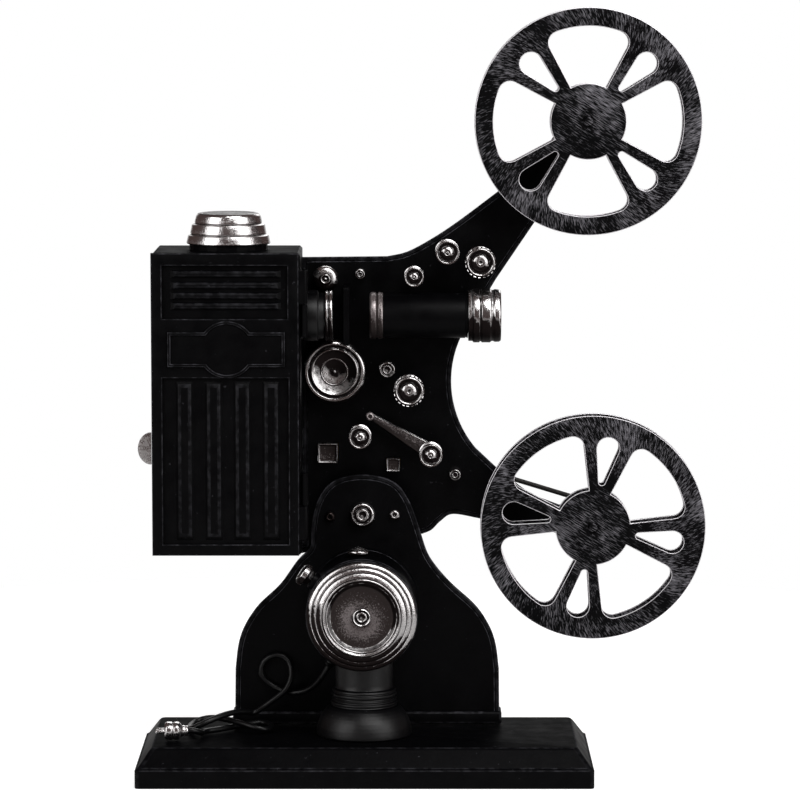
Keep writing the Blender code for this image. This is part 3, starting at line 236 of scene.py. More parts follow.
def turned_metal(name, colour, rubbed, mark):
    """Machined metal: one colour, with fine turning marks that catch the light."""
    made, tree, shader = blank_material(name)
    place = add(tree, "TexCoord").outputs["Object"]
    cloud = add(tree, "TexNoise", {"Vector": place, "Scale": per_mm(5), "Detail": 5.0})
    marks = add(tree, "TexNoise", {"Vector": place, "Scale": per_mm(mark), "Detail": 2.0})
    tone = add(tree, "Mix", {"Factor": cloud, "A": linear(colour), "B": linear(rubbed)}, data_type="RGBA")
    dull = add(
        tree, "MapRange", {"Value": marks, "From Min": 0.3, "From Max": 0.7, "To Min": 0.25, "To Max": 0.42}
    )
    cut = add(tree, "Bump", {"Height": marks, "Strength": 0.25, "Distance": 0.00005})
    wire(shader, {"Base Color": tone, "Roughness": dull, "Normal": cut, "Metallic": 1.0})
    return made


def soft_black(name, dark, light, rough, grain, sheen):
    """Black rubber or belt leather: a fine uneven grain, and a thin shine where it is smooth."""
    made, tree, shader = blank_material(name)
    place = add(tree, "TexCoord").outputs["Object"]
    speck = add(tree, "TexNoise", {"Vector": place, "Scale": per_mm(grain), "Detail": 4.0})
    tone = add(tree, "Mix", {"Factor": speck, "A": linear(dark), "B": linear(light)}, data_type="RGBA")
    uneven = {"From Min": 0.3, "From Max": 0.7, "To Min": rough - 0.08, "To Max": rough + 0.08}
    dull = add(tree, "MapRange", {"Value": speck, **uneven})
    skin = add(tree, "Bump", {"Height": speck, "Strength": 0.3, "Distance": 0.0001})
    wire(shader, {"Base Color": tone, "Roughness": dull, "Normal": skin, "Specular IOR Level": sheen})
    return made


def dry_brushed_black(name, centre):
    """Black paint dry-brushed with silver: streaks slant across the hub and fan outwards on the rim.

    The real brush marks are about 0.2 mm wide, and are drawn about twice as wide so that they show.
    """
    mark, hub_mark, rim_mark, rim_middle = 0.45, 4.5, 3.5, 50
    hub_slant, hub_depth, sweep, patchy, edge_paint = math.radians(32), 3.0, 9.0, 0.5, 0.45
    made, tree, shader = blank_material(name)
    place = add(tree, "TexCoord").outputs["Object"]
    rub = add(tree, "Attribute", attribute_name="rub").outputs["Fac"]
    middle = (centre[0] * MM, FILM_Y * MM, centre[1] * MM)
    slant = {"Rotation": (0, hub_slant, 0), "Scale": (hub_mark * MM, hub_depth * MM, mark * MM)}
    slanted = add(tree, "Mapping", {"Vector": place, "Location": middle, **slant}, vector_type="TEXTURE")
    across = add(tree, "TexNoise", {"Vector": slanted, "Scale": 1.0, "Detail": 6.0})
    local = add(tree, "VectorMath", {0: place, 1: middle}, operation="SUBTRACT")
    reach = add(tree, "VectorMath", {0: local}, operation="LENGTH")
    lean = add(tree, "Math", {0: reach, 1: sweep}, operation="MULTIPLY")
    swept = add(tree, "VectorRotate", {"Vector": local, "Angle": lean}, rotation_type="Y_AXIS")
    outward = add(tree, "VectorMath", {0: swept}, operation="NORMALIZE")
    fan = add(tree, "VectorMath", {0: outward, "Scale": rim_middle / mark}, operation="SCALE")
    longer = add(tree, "Math", {0: reach, 1: per_mm(rim_mark)}, operation="MULTIPLY")
    fanned = {"Vector": fan, "W": longer, "Scale": 1.0, "Detail": 6.0}
    along = add(tree, "TexNoise", fanned, noise_dimensions="4D")
    beyond_hub = {"Value": reach, "From Min": 0.022, "From Max": 0.032}
    on_rim = add(tree, "MapRange", beyond_hub, interpolation_type="SMOOTHSTEP")
    streak = add(tree, "Mix", {"Factor": on_rim, "A": across, "B": along})
    cloud = add(tree, "TexNoise", {"Vector": place, "Scale": per_mm(16), "Detail": 3.0})
    laden = add(tree, "Math", {0: cloud, 1: patchy, 2: -patchy / 2}, operation="MULTIPLY_ADD")
    paint = add(tree, "Math", {0: streak, 1: laden}, operation="ADD")
    edge = add(tree, "Math", {0: rub, 1: edge_paint, 2: paint}, operation="MULTIPLY_ADD")
    silver = add(tree, "MapRange", {"Value": edge, "From Min": 0.5, "From Max": 0.94})
    paints = {"Factor": silver, "A": linear("#050506"), "B": linear("#a3a1a8")}
    colour = add(tree, "Mix", paints, data_type="RGBA")
    # Every eased rim is mixed towards near white: dry-brushed silver, and a painted highlight along all the
    # edges.
    rim_paint_and_highlight = add(tree, "Mix", {"Factor": rub, "A": colour, "B": linear("#dddbdf")}, data_type="RGBA")
    dull = add(tree, "MapRange", {"Value": silver, "To Min": 0.55, "To Max": 0.34})
    bright = add(tree, "MapRange", {"Value": silver, "To Max": 0.5})
    ridges = add(tree, "Bump", {"Height": streak, "Strength": 0.25, "Distance": 0.0001})
    wire(shader, {"Base Color": rim_paint_and_highlight, "Roughness": dull, "Metallic": bright, "Normal": ridges})
    wire(shader, {"Specular IOR Level": 0.05})
    return made


def clear_glass():
    """Ground and polished crown glass: clear, with a faint cool tint and fine polishing haze."""
    made, tree, shader = blank_material("polished_crown_glass")
    place = add(tree, "TexCoord").outputs["Object"]
    haze = add(tree, "TexNoise", {"Vector": place, "Scale": per_mm(3), "Detail": 3.0})
    polish = add(
        tree, "MapRange", {"Value": haze, "From Min": 0.35, "From Max": 0.7, "To Min": 0.01, "To Max": 0.06}
    )
    cool = {"Factor": haze, "A": linear("#f2fbfb"), "B": linear("#e9f3f3")}
    tint = add(tree, "Mix", cool, data_type="RGBA")
    wire(shader, {"Base Color": tint, "Roughness": polish, "IOR": 1.52, "Transmission Weight": 1.0})
    return made


ENAMEL = black_enamel("black_enamel_on_cast_metal", sheen=0.06)
SATIN = black_enamel("satin_black_enamel", sheen=0.33)
# In each silver, below is how far painted shade darkens what faces down.
SILVER = rubbed_silver("rubbed_silver_leaf", "#c4c2c2", "#211c1c", tarnish=-0.08, below=2.3, bare=1.0)
HANDLED = rubbed_silver("handled_silver_leaf", "#d2d0d0", "#2a2322", tarnish=-0.2, below=0.35, bare=1.0)
TARNISHED = rubbed_silver(
    "tarnished_silver_leaf", "#867f7f", "#2e2726", tarnish=0.6, below=0.8, bare=0.75, blotches=0.7
)
WORN = rubbed_silver(
    "worn_silver_leaf", "#a39b9b", "#2a2322", tarnish=0.5, below=0.5, bare=0.55, blotches=0.8
)
# The darkest silver, near black: painted shade on the cap's top, and a darker colour on the left lock.
DARK_SILVER = rubbed_silver("dark_silver_leaf", "#2c2625", "#0e0b0b", tarnish=0.5, below=0.8, bare=1.0)
STEEL = turned_metal("turned_mild_steel", "#8d8d90", "#a5a5a6", mark=0.6)
BRASS = turned_metal("machined_brass", "#a5803c", "#b9954c", mark=0.6)
RUBBER = soft_black("moulded_black_rubber", "#030304", "#070708", rough=0.36, grain=0.7, sheen=0.22)
LEATHER = soft_black("round_belt_leather", "#0d0b0a", "#1c1815", rough=0.68, grain=0.8, sheen=0.5)
GLASS = clear_glass()
UPPER_BRUSHED = dry_brushed_black("dry_brushed_black_upper", UPPER_REEL)
LOWER_BRUSHED = dry_brushed_black("dry_brushed_black_lower", LOWER_REEL)

# The finishes of each slot. A solid that shows as it is gets the first
FINISHES = {
    "black_enamel": [ENAMEL, SATIN],
    "rubbed_silver": [SILVER, HANDLED, TARNISHED, WORN, DARK_SILVER],
    "plain_steel": [STEEL],
    "gear_brass": [BRASS],
    "cord_rubber": [RUBBER],
    "belt_leather": [LEATHER],
    "clear_glass": [GLASS],
    "brushed_black_steel": [UPPER_BRUSHED, LOWER_BRUSHED],
}


def piece(name, shape, finishes, body, stands_for, at=(0, 0, 0), facing=UPRIGHT):
    """Closes a shape into a named object that rides on a body, with its place in its mesh."""
    bmesh.ops.remove_doubles(shape, verts=shape.verts, dist=SAME_SPOT)
    bmesh.ops.recalc_face_normals(shape, faces=shape.faces)
    turn = Matrix.Scale(MM, 4) @ Matrix.Translation(at) @ facing
    bmesh.ops.transform(shape, matrix=turn, verts=shape.verts)
    mesh = bpy.data.meshes.new(name)
    shape.to_mesh(mesh)
    shape.free()
    mesh.shade_smooth()
    mesh.set_sharp_from_angle(angle=CREASE)
    for finish in finishes:
        mesh.materials.append(finish)
    made = bpy.data.objects.new(name, mesh)
    bpy.context.scene.collection.objects.link(made)
    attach(made, body)
    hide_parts(*stands_for)
    return made


def smooth_line(points, per_span):
    """A Catmull-Rom curve through points of two or three coordinates."""
    knots = [Vector(p) for p in points]
    knots = [2 * knots[0] - knots[1], *knots, 2 * knots[-1] - knots[-2]]
    made = []
    for a, b, c, d in zip(knots, knots[1:], knots[2:], knots[3:]):
        for t in (i / per_span for i in range(per_span)):
            bend = (2 * a - 5 * b + 4 * c - d) * t**2 + (3 * b - a - 3 * c + d) * t**3
            made.append(0.5 * (2 * b + (c - a) * t + bend))
    return [*(tuple(p) for p in made), tuple(knots[-2])]


def polar(radius, angle, centre=(0, 0)):
    """A point at an angle in degrees and a distance from a centre."""
    turn = math.radians(angle)
    return (centre[0] + radius * math.cos(turn), centre[1] + radius * math.sin(turn))


def arc(centre, radius, start, end, points):
    """Points on an arc between two angles in degrees, both ends included."""
    return [polar(radius, start + (end - start) * i / (points - 1), centre) for i in range(points)]


def circle(centre, radius, points):
    """Points round a full circle."""
    return arc(centre, radius, 0, 360, points + 1)[:-1]


def rectangle(low, high):
    """The four corners between two opposite ones."""
    return [low, (high[0], low[1]), high, (low[0], high[1])]


def on_y(axis):
    """The place of a shape that stands on an axis along Y."""
    return (axis[0], 0, axis[1])


def along_y(profile):
    """A profile in (radius, Y), for a shape that faces forward."""
    return [(radius, -y) for radius, y in profile]


def blank():
    """An empty shape that can note ridges and grooves on its corners and rubbing on its faces."""
    shape = bmesh.new()
    shape.verts.layers.float.new("relief_and_shade")
    shape.faces.layers.float.new("rub")
    return shape


def rounded(shape, geom, width, segments, affect):
    """Rounds corners or edges, and gives back the new faces."""
    made = bmesh.ops.bevel(
        shape,
        geom=geom,
        offset=width,
        offset_type="OFFSET",
        segments=segments,
        profile=0.5,
        affect=affect,
        material=-1,
        clamp_overlap=True,
    )
    return made["faces"]


def turned(profile, sides, rounding=0.25, closed=False, shape=None):
    """A shape spun about its own Z from (radius, height) points, with its corners eased.

    Each corner notes how far it stands out or lies in, so that the finish tells a ridge from a groove.
    """
    shape = shape or blank()
    relief_and_shade = shape.verts.layers.float["relief_and_shade"]
    spots = [Vector(p) for p in profile]
    points = [shape.verts.new((p.x, 0, p.y)) for p in spots]
    ends = points[1:] + (points[:1] if closed else [])
    for pair in zip(points, ends):
        shape.edges.new(pair)
    area = sum(a.x * b.y - b.x * a.y for a, b in zip(spots, spots[1:] + spots[:1]))
    inner = range(len(points)) if closed else range(1, len(points) - 1)
    for i in inner:
        bend = (spots[i] - spots[i - 1]).angle_signed(spots[(i + 1) % len(spots)] - spots[i])
        points[i][relief_and_shade] = -math.copysign(1, area) * bend / (math.pi / 2)
    old = set(shape.verts) - set(points)
    rounded(shape, [points[i] for i in inner], rounding, 2, "VERTICES")
    line = [v for v in shape.verts if v not in old]
    wires = [e for e in shape.edges if not e.link_faces]
    bmesh.ops.spin(
        shape, geom=line + wires, axis=(0, 0, 1), cent=(0, 0, 0), angle=TURN, steps=sides, use_merge=True
    )
    return shape


def turn_about(shape, profile, axis, sides, rounding=0.25, closed=True):
    """Adds a turned form to a shape that faces forward, on an axis at (X, Z)."""
    before = set(shape.verts)
    turned(profile, sides, rounding, closed, shape)
    added = [v for v in shape.verts if v not in before]
    bmesh.ops.translate(shape, verts=added, vec=(*axis, 0))


def ring(shape, points, height):
    """Adds edges round a loop of points at one height."""
    spots = [shape.verts.new((x, y, height)) for x, y in points]
    return [shape.edges.new(pair) for pair in zip(spots, spots[1:] + spots[:1])]


def fill(shape, edges):
    """Fills the flat area between loops of edges."""
    bmesh.ops.triangle_fill(shape, edges=edges, use_beauty=True, use_dissolve=False)


def plate(outline, low, high, holes=()):
    """A flat plate in its own XY plane, with holes through it."""
    shape = blank()
    fill(shape, [e for loop in (outline, *holes) for e in ring(shape, loop, low)])
    risen = bmesh.ops.extrude_face_region(shape, geom=shape.faces[:])["geom"]
    raised = [v for v in risen if isinstance(v, bmesh.types.BMVert)]
    bmesh.ops.translate(shape, verts=raised, vec=(0, 0, high - low))
    return shape


def walls(shape, edges, height):
    """Runs walls from a loop of edges to a height, and gives back the edges there."""
    rub = shape.faces.layers.float["rub"]
    made = bmesh.ops.extrude_edge_only(shape, edges=edges)["geom"]
    for item in made:
        if isinstance(item, bmesh.types.BMVert):
            item.co.z = height
        elif isinstance(item, bmesh.types.BMFace):
            item[rub] = 0.0
    return [e for e in made if isinstance(e, bmesh.types.BMEdge) and e.is_boundary]


def lid(shape, edges, steps, upward):
    """Closes a loop with steps of (inset, rise, rubbing), and gives back the edges round its open middle."""
    rub = shape.faces.layers.float["rub"]
    face = bmesh.ops.edgeloop_fill(shape, edges=edges)["faces"][0]
    face.normal_update()
    if (face.normal.z > 0) != upward:
        face.normal_flip()
    for inset, rise, rubbed in steps:
        made = bmesh.ops.inset_region(
            shape, faces=[face], thickness=inset, depth=rise, use_boundary=True, use_even_offset=True
        )
        for band in made["faces"]:
            band[rub] = rubbed
    middle = list(face.edges)
    bmesh.ops.delete(shape, geom=[face], context="FACES_ONLY")
    return middle


def moulded_plate(outline, low, high, holes, steps, eased=0.6):
    """A pierced plate in its own XY plane, with a moulding round its front and an eased back edge."""
    shape = blank()
    rim = ring(shape, outline, high - sum(rise for _, rise, _ in steps))
    front = lid(shape, rim, steps, upward=True)
    bores = [e for hole in holes for e in ring(shape, hole, high)]
    fill(shape, front + bores)
    back = lid(shape, walls(shape, rim, low + eased), [(eased, eased, 1.0)], upward=False)
    fill(shape, back + walls(shape, bores, low))
    return shape


def block(shape, low, high):
    """Adds a box between two corners."""
    low, high = Vector(low), Vector(high)
    fit = Matrix.Translation((low + high) / 2) @ Matrix.Diagonal((*(high - low), 1))
    return bmesh.ops.create_cube(shape, size=1, matrix=fit)["verts"]


def ease(shape, width, chosen, segments=2, least=30, rubbed=1.0):
    """Rounds the sharp edges that pass a test, and notes the new faces as rubbed."""
    rub = shape.faces.layers.float["rub"]
    bmesh.ops.recalc_face_normals(shape, faces=shape.faces)
    sharp = [e for e in shape.edges if len(e.link_faces) == 2 and e.calc_face_angle() > math.radians(least)]
    for face in rounded(shape, [e for e in sharp if chosen(e)], width, segments, "EDGES"):
        face[rub] = rubbed
    return shape


def climb(edge):
    """How far an edge climbs from end to end."""
    return abs(edge.verts[0].co.z - edge.verts[1].co.z)


def above(height):
    """A test for edges that lie above a height."""
    return lambda edge: all(v.co.z > height for v in edge.verts)


def meeting(corners):
    """A test for edges that meet any of some corners."""
    edges = {e for v in corners for e in v.link_edges}
    return lambda edge: edge in edges


def ridged(shape, radius, low, high, count, depth):
    """Presses every second face of a rim in or out, for a knurled or toothed edge."""
    step, margin = TURN / count, 0.04
    rim = []
    for face in shape.faces:
        middle = face.calc_center_median()
        if low < middle.z < high and math.hypot(middle.x, middle.y) > radius:
            if math.floor(math.atan2(middle.y, middle.x) / step) % 2:
                rim.append(face)
    bmesh.ops.inset_individual(shape, faces=rim, thickness=margin, depth=depth, use_even_offset=True)
    return shape


def second_finish(shape, chosen):
    """Gives the second finish to the faces whose middle passes a test."""
    for face in shape.faces:
        face.material_index = int(chosen(face.calc_center_median()))


def silver_on_y(node, axis, profile, body, sides=48, rounding=0.22, finish=SILVER):
    """A turned silver piece on an axis along Y, from (radius, Y) points."""
    shape = turned(along_y(profile), sides, rounding)
    return piece(f"turned_{node}", shape, [finish], body, [node], on_y(axis), FORWARD)


def facing_out(angle):
    """Turns a shape's own Z to point away from the motor's axis at an angle."""
    return Matrix.Rotation(math.pi / 2 - math.radians(angle), 4, "Y")


def sheave(radius):
    """The profile of a pulley with one belt groove, from (radius, Y) points."""
    rim, start, end = radius + 2.0, BELT_Y - SHEAVE_HALF, BELT_Y + SHEAVE_HALF
    made = [(rim, start), (rim, BELT_Y - 2.0), (radius, BELT_Y - 0.8), (radius, BELT_Y + 0.8)]
    made += [(rim, BELT_Y + 2.0), (rim, end), (rim * 0.72, end), (rim * 0.66, end - 0.5)]
    made += [(rim * 0.36, end - 0.5), (rim * 0.3, end + 0.6), (rim * 0.12, end + 0.6), (0, end + 0.2)]
    return made


def cast_base():
    """The plinth: a plain band below, a slope above, and corners worn round."""
    shape = blank()
    half_x, half_y = BASE_LENGTH / 2, BASE_DEPTH / 2
    block(shape, (-half_x, -half_y, 0), (half_x, half_y, BASE_BAND))
    top = max(shape.faces, key=lambda face: face.calc_center_median().z)
    for inset, rise in ((1.6, 0.8), (5.4, 7.7), (1.0, 1.0)):
        bmesh.ops.inset_region(shape, faces=[top], thickness=inset, depth=rise, use_even_offset=True)
    ease(shape, 2.0, lambda e: climb(e) > 0.5, segments=4, rubbed=0.2)
    ease(shape, 0.45, lambda e: climb(e) < 0.01, least=18, rubbed=0.45)
    piece("cast_base", shape, [ENAMEL], "stand", ["base_plinth"])


def bracket_outline():
    """The stand's cheek: an arch round the tilt pivot that sweeps out to a wide foot."""
    right = [(0, 19.6), (10.5, 18.1), (17.7, 14.2), (22.5, 7.5), (25.7, 0), (28.5, -8.5), (32.1, -19.2)]
    right += [(37.2, -27.2), (44.7, -35.5), (56, -45.9), (62.5, -55.4), (65.8, -64.8), (67.4, -77)]
    left = [(-10.5, 18), (-17.5, 13.6), (-21.8, 7), (-24, 0), (-25.2, -8), (-25.8, -16.5), (-32.4, -23.6)]
    left += [(-41, -35.5), (-51.8, -45.9), (-58.1, -55.4), (-61.3, -64.8), (-62.8, -77)]
    foot = ON_BASE - PIVOT[1]
    loop = [(-63.1, foot), *smooth_line([*left[::-1], *right], 5), (67.7, foot)]
    return [(PIVOT[0] + x, PIVOT[1] + z) for x, z in loop]


def cast_bracket():
    """The bracket with a double-lined edge, its foot flange and the motor's rear bearing."""
    outline = bracket_outline()
    holes = [circle(MOTOR, SHAFT_BORE, 20), circle(PIVOT, AXLE_BORE, 24)]
    shape = moulded_plate(outline, -BRACKET_BACK, -BRACKET_FRONT, holes, MOULDING)
    past, rise, back, front = 1, 6, -34, -19
    left, right = outline[0][0] - past, outline[-1][0] + past
    flange = block(shape, (left, ON_BASE, back), (right, ON_BASE + rise, front))
    ease(shape, 1.0, meeting(flange), segments=3, rubbed=0.7)
    boss = [(SHAFT_BORE, -54), (7.4, -54), (8, -53.4), (8, -33), (9.5, -BRACKET_BACK)]
    turn_about(shape, [*boss, (SHAFT_BORE, -BRACKET_BACK)], MOTOR, 40)
    piece("cast_bracket", shape, [ENAMEL], "stand", ["stand_bracket"], facing=FORWARD)


def stand_fittings():
    """The pivot bolt, the two tilt locks and the oiler."""
    bolt = [(0, 17.9), (1.5, 17.9), (1.9, 17.1), (3.0, 17.1), (3.5, 18.2), (4.3, 18.2), (4.7, 17.6)]
    bolt += [(5.6, 17.9), (6.3, 19.2), (6.3, 21.7), (4, 21.7), (4, 36), (0, 36)]
    silver_on_y("pivot_bolt", PIVOT, bolt, "stand")
    screw = [(0, 19.9), (0.8, 19.9), (1.0, 19.4), (1.8, 19.4), (2.6, 20.2), (2.6, 21.7), (1.5, 21.7)]
    screw += [(1.5, 27.6), (0, 27.6)]
    # The left lock is in the darkest silver.
    silver_on_y("tilt_lock_left", LOCK_LEFT, screw, "stand", 32, finish=DARK_SILVER)
    silver_on_y("tilt_lock_right", LOCK_RIGHT, screw, "stand", 32)
    top = MOTOR[1] + MOTOR_RADIUS
    cup = [(0, -3.4), (2.0, -3.4), (2.0, 0.4), (4.2, 0.4), (5.1, 1.2), (5.1, 2.4), (3.9, 3.2), (3.2, 3.0)]
    cup = [(radius, top + rise) for radius, rise in [*cup, (2.4, 3.8), (0, 4.0)]]
    piece("turned_oiler_cap", turned(cup, 40), [SILVER], "stand", ["oiler_cap"], (*OILER, 0))


def handwheel():
    """The stepped handwheel, whose rim is painted browner the lower it lies, as painted shade, and dull in
    its well.
    """
    radius, outer_steps, well, well_floor = 26.6, 18.6, 15.0, 24.0
    # How far the painted shade leans to the left, how deep it goes, and where it starts and fades in.
    shade_lean, most, start, fade = 0.25, 1.6, 0.35, 0.5
    wheel = [(2.3, -22.5), (radius, -22.5), (radius, -24.2), (26.0, -25.2), (24.5, -25.9), (24.2, -25.6)]
    wheel += [(23.9, -26.0), (23.4, -26.4), (22.1, -26.9), (21.8, -26.6), (21.5, -27.0), (21.0, -27.3)]
    wheel += [(19.5, -27.9), (19.1, -27.7), (18.7, -28.3), (18.1, -28.3), (17.2, -27.2), (16.8, -27.3)]
    wheel += [(16.4, -26.8), (15.2, -25.2), (14.4, -25.0), (2.3, -25.0)]
    shape = turned(along_y(wheel), 96, 0.25, closed=True)
    relief_and_shade = shape.verts.layers.float["relief_and_shade"]
    # Painted shade: the outer rim's relief is lowered the lower and further left it lies, so it shows
    # browner.
    for v in shape.verts:
        if v.co.xy.length > outer_steps:
            shade_lowness = -(v.co.y + shade_lean * v.co.x) / radius
            v[relief_and_shade] -= most * min(max((shade_lowness - start) / fade, 0), 1)
    second_finish(shape, lambda p: p.xy.length < well and p.z > well_floor)
    looks = [SILVER, TARNISHED]
    piece("turned_handwheel", shape, looks, "motor_rotor", ["motor_handwheel"], on_y(MOTOR), FORWARD)


def armature():
    """The armature on its shaft, with a silver nut in front and a pulley behind."""
    nut_back = 22
    core = [(0, -26.3), (1.4, -26.3), (1.9, -26.9), (2.5, -26.7), (3.0, -26.4), (3.4, -27.4), (4.0, -27.8)]
    core += [(4.5, -27.3), (4.7, -26.5), (4.7, -25.4), (2.0, -25.4), (2.0, -19), (3, -19), (3, -16)]
    core += [(21, -16), (21, 13), (3, 13), (3, BELT_Y - SHEAVE_HALF), *sheave(MOTOR_SHEAVE)]
    shape = turned(along_y(core), 48, 0.2)
    second_finish(shape, lambda p: p.z < nut_back)
    piece("turned_armature", shape, [SILVER, STEEL], "motor_rotor", ["motor_armature"], on_y(MOTOR), FORWARD)


def speed_knob():
    """The knurled knob on the motor's side."""
    knob = [(0, -4), (1.6, -4), (1.6, 0.3), (3.4, 0.3), (4.0, 2.4), (5.0, 2.8), (5.3, 3.1), (5.3, 5.5)]
    knob += [(5.0, 5.9), (4.0, 6.5), (3.0, 6.3), (2.4, 6.8), (0, 6.9)]
    shape = ridged(turned(knob, 44, 0.15), 5.1, 3.1, 5.5, count=44, depth=0.25)
    x, z = polar(KNOB_REACH, KNOB_ANGLE, MOTOR)
    out = facing_out(KNOB_ANGLE)
    piece("knurled_speed_knob", shape, [SILVER], "speed_knob", ["speed_knob"], (x, KNOB_Y, z), out)


def motor():
    """The ringed pedestal, cut to the motor's round, then the case, the knob's neck and the lead's gland."""
    bell = [(0, ON_BASE), (22.7, ON_BASE), (23.2, ON_BASE + 0.5), (23.0, 21.5), (22.8, 23.2), (22.3, 25)]
    bell += [(21.5, 27), (20.6, 28.7), (19.5, 30.3), (18.2, 31.8), (16.8, 33.0), (16.0, 33.4), (15.8, 33.9)]
    bell += [(16.2, 34.4), (16.2, 35.2), (15.4, 35.7), (15.4, 36.2), (15.8, 36.6), (15.0, 37.3)]
    bell += [(15.0, 37.8), (15.8, 38.3), (15.8, 39.3), (15.1, 39.8), (15.1, 40.2), (15.6, 40.6)]
    bell += [(15.2, 41.4), (14.2, 42), (14, 44), (14, 58)]
    shape = turned(bell, 72, 0.3)
    crown = 50
    for v in shape.verts:
        if v.co.z > crown:
            across = PEDESTAL[0] + v.co.x - MOTOR[0]
            v.co.z = MOTOR[1] - math.sqrt((MOTOR_RADIUS + GAP) ** 2 - across**2)
    bmesh.ops.edgeloop_fill(shape, edges=[e for e in shape.edges if len(e.link_faces) == 1])
    piece("turned_pedestal", shape, [SATIN], "stand", ["motor_pedestal"], (*PEDESTAL, 0))

    outer, inner, groove, sheet = MOTOR_RADIUS, MOTOR_RADIUS - 2.5, MOTOR_RADIUS - 0.5, 3
    shell = [(SHAFT_BORE, MOTOR_BACK), (outer - 1, MOTOR_BACK), (outer, MOTOR_BACK - 1), (outer, 14)]
    shell += [(groove, 13.6), (groove, 12.8), (outer, 12.4), (outer, -16.4), (groove, -16.8), (groove, -17.6)]
    shell += [(outer, -18), (outer, MOTOR_FRONT), (inner, MOTOR_FRONT), (inner, MOTOR_BACK - sheet)]
    shape = turned(along_y([*shell, (SHAFT_BORE, MOTOR_BACK - sheet)]), 96, 0.25, closed=True)
    rub = shape.faces.layers.float["rub"]
    for face in shape.faces:
        if outer - 1 < face.calc_center_median().xy.length < outer - 0.05:
            face[rub] = BARE
    piece("turned_motor_case", shape, [ENAMEL], "stand", ["motor_housing"], on_y(MOTOR), FORWARD)
    neck = turned(rectangle((1.9, outer - 0.6), (4.2, KNOB_REACH)), 32, 0.2, closed=True)
    at = (MOTOR[0], KNOB_Y, MOTOR[1])
    piece("speed_knob_neck", neck, [ENAMEL], "stand", [], at, facing_out(KNOB_ANGLE))

    low = MOTOR_RADIUS + GAP + 0.1
    ribs = [(0, -3.6), (2.5, -3.6), (2.5, 0), (3.6, 0), (3.6, 1.8), (3.0, 2.2), (3.0, 2.8), (3.2, 3.0)]
    ribs += [(3.2, 3.6), (2.6, 3.9), (2.6, 4.5), (2.9, 4.8)]
    collar = [(radius, low + rise) for radius, rise in ribs]
    collar += [(2.4, GLAND_REACH - 0.8), (2.1, GLAND_REACH), (0, GLAND_REACH)]
    at = (MOTOR[0], GLAND_Y, MOTOR[1])
    gland = turned(collar, 32, 0.12)
    piece("ribbed_cord_gland", gland, [RUBBER], "stand", ["cord_gland"], at, facing_out(GLAND_ANGLE))


def frame_outline():
    """The head's plate: square at the lamphouse, with a lip under it and an arm to each reel."""
    lip_width, lip_drop, seam, arm_end = 4.5, 6.8, 0.02, 9
    top = smooth_line([(10.7, 249.5), (20.6, 251.8), (32.8, 258.3), (45.9, 267.0), (65.6, 281.8)], 4)
    upper_end = [(84.0, 302.5), (90.8, 306.3), *arc(UPPER_REEL, arm_end, 150, -80, 18)]
    upper_end += [(98.6, 299.5), (85.3, 274.8)]
    behind_lens = [(83.1, 266.4), (64.2, 238.4)]
    throat = arc((94.0, 188.0), 51.8, 154.7, 220.1, 26)
    lower_arm = smooth_line([(64.6, 145), (73.3, 138), (82.7, 131.3), (96, 126)], 3)
    lower_end = arc(LOWER_REEL, arm_end, 68, -97, 16)
    heel = smooth_line([(56.4, 119.5), (43.2, 121.7), (37.2, 118.3), (32.6, 113.8), (28.1, 111.8)], 5)
    lobe = arc(PIVOT, 18.5, -37, -120, 12)
    edge, lip, low = LAMP_RIGHT + seam, LAMP_RIGHT - lip_width, LAMP_BOTTOM - GAP
    left = [(lip, low - lip_drop), (lip, low), (edge, low), (edge, 249.1)]
    return [*left, *top, *upper_end, *behind_lens, *throat, *lower_arm, *lower_end, *heel, *lobe]


def cast_frame():
    """The head's plate with a double-lined edge, pierced for its shafts and buttons."""
    bores = [(axis, SHAFT_BORE) for axis in (UPPER_SPROCKET, LOWER_SPROCKET, INCHING)]
    bores += [(FRAMING, FRAMING_BORE), *((axis, AXLE_BORE) for axis in (UPPER_REEL, LOWER_REEL, PIVOT))]
    bores += [(axis, ROLLER_BORE) for axis, _ in ROLLERS.values()]
    holes = [circle(axis, radius, 20) for axis, radius in bores]
    for (x, z), width in BUTTONS.values():
        half = width / 2 + GAP
        holes.append(rectangle((x - half, z - half), (x + half, z + half)))
    shape = moulded_plate(frame_outline(), -FRAME_BACK, -FRAME_FRONT, holes, MOULDING)
    for axis, radius in ((UPPER_SPROCKET, 6), (LOWER_REEL, 7.5)):
        boss = [(SHAFT_BORE, -56), (radius - 0.6, -56), (radius, -55.4), (radius, -41)]
        boss += [(radius + 1.4, -FRAME_BACK), (SHAFT_BORE, -FRAME_BACK)]
        turn_about(shape, boss, axis, 36)
    piece("cast_frame", shape, [ENAMEL], "head", ["main_frame"], facing=FORWARD)


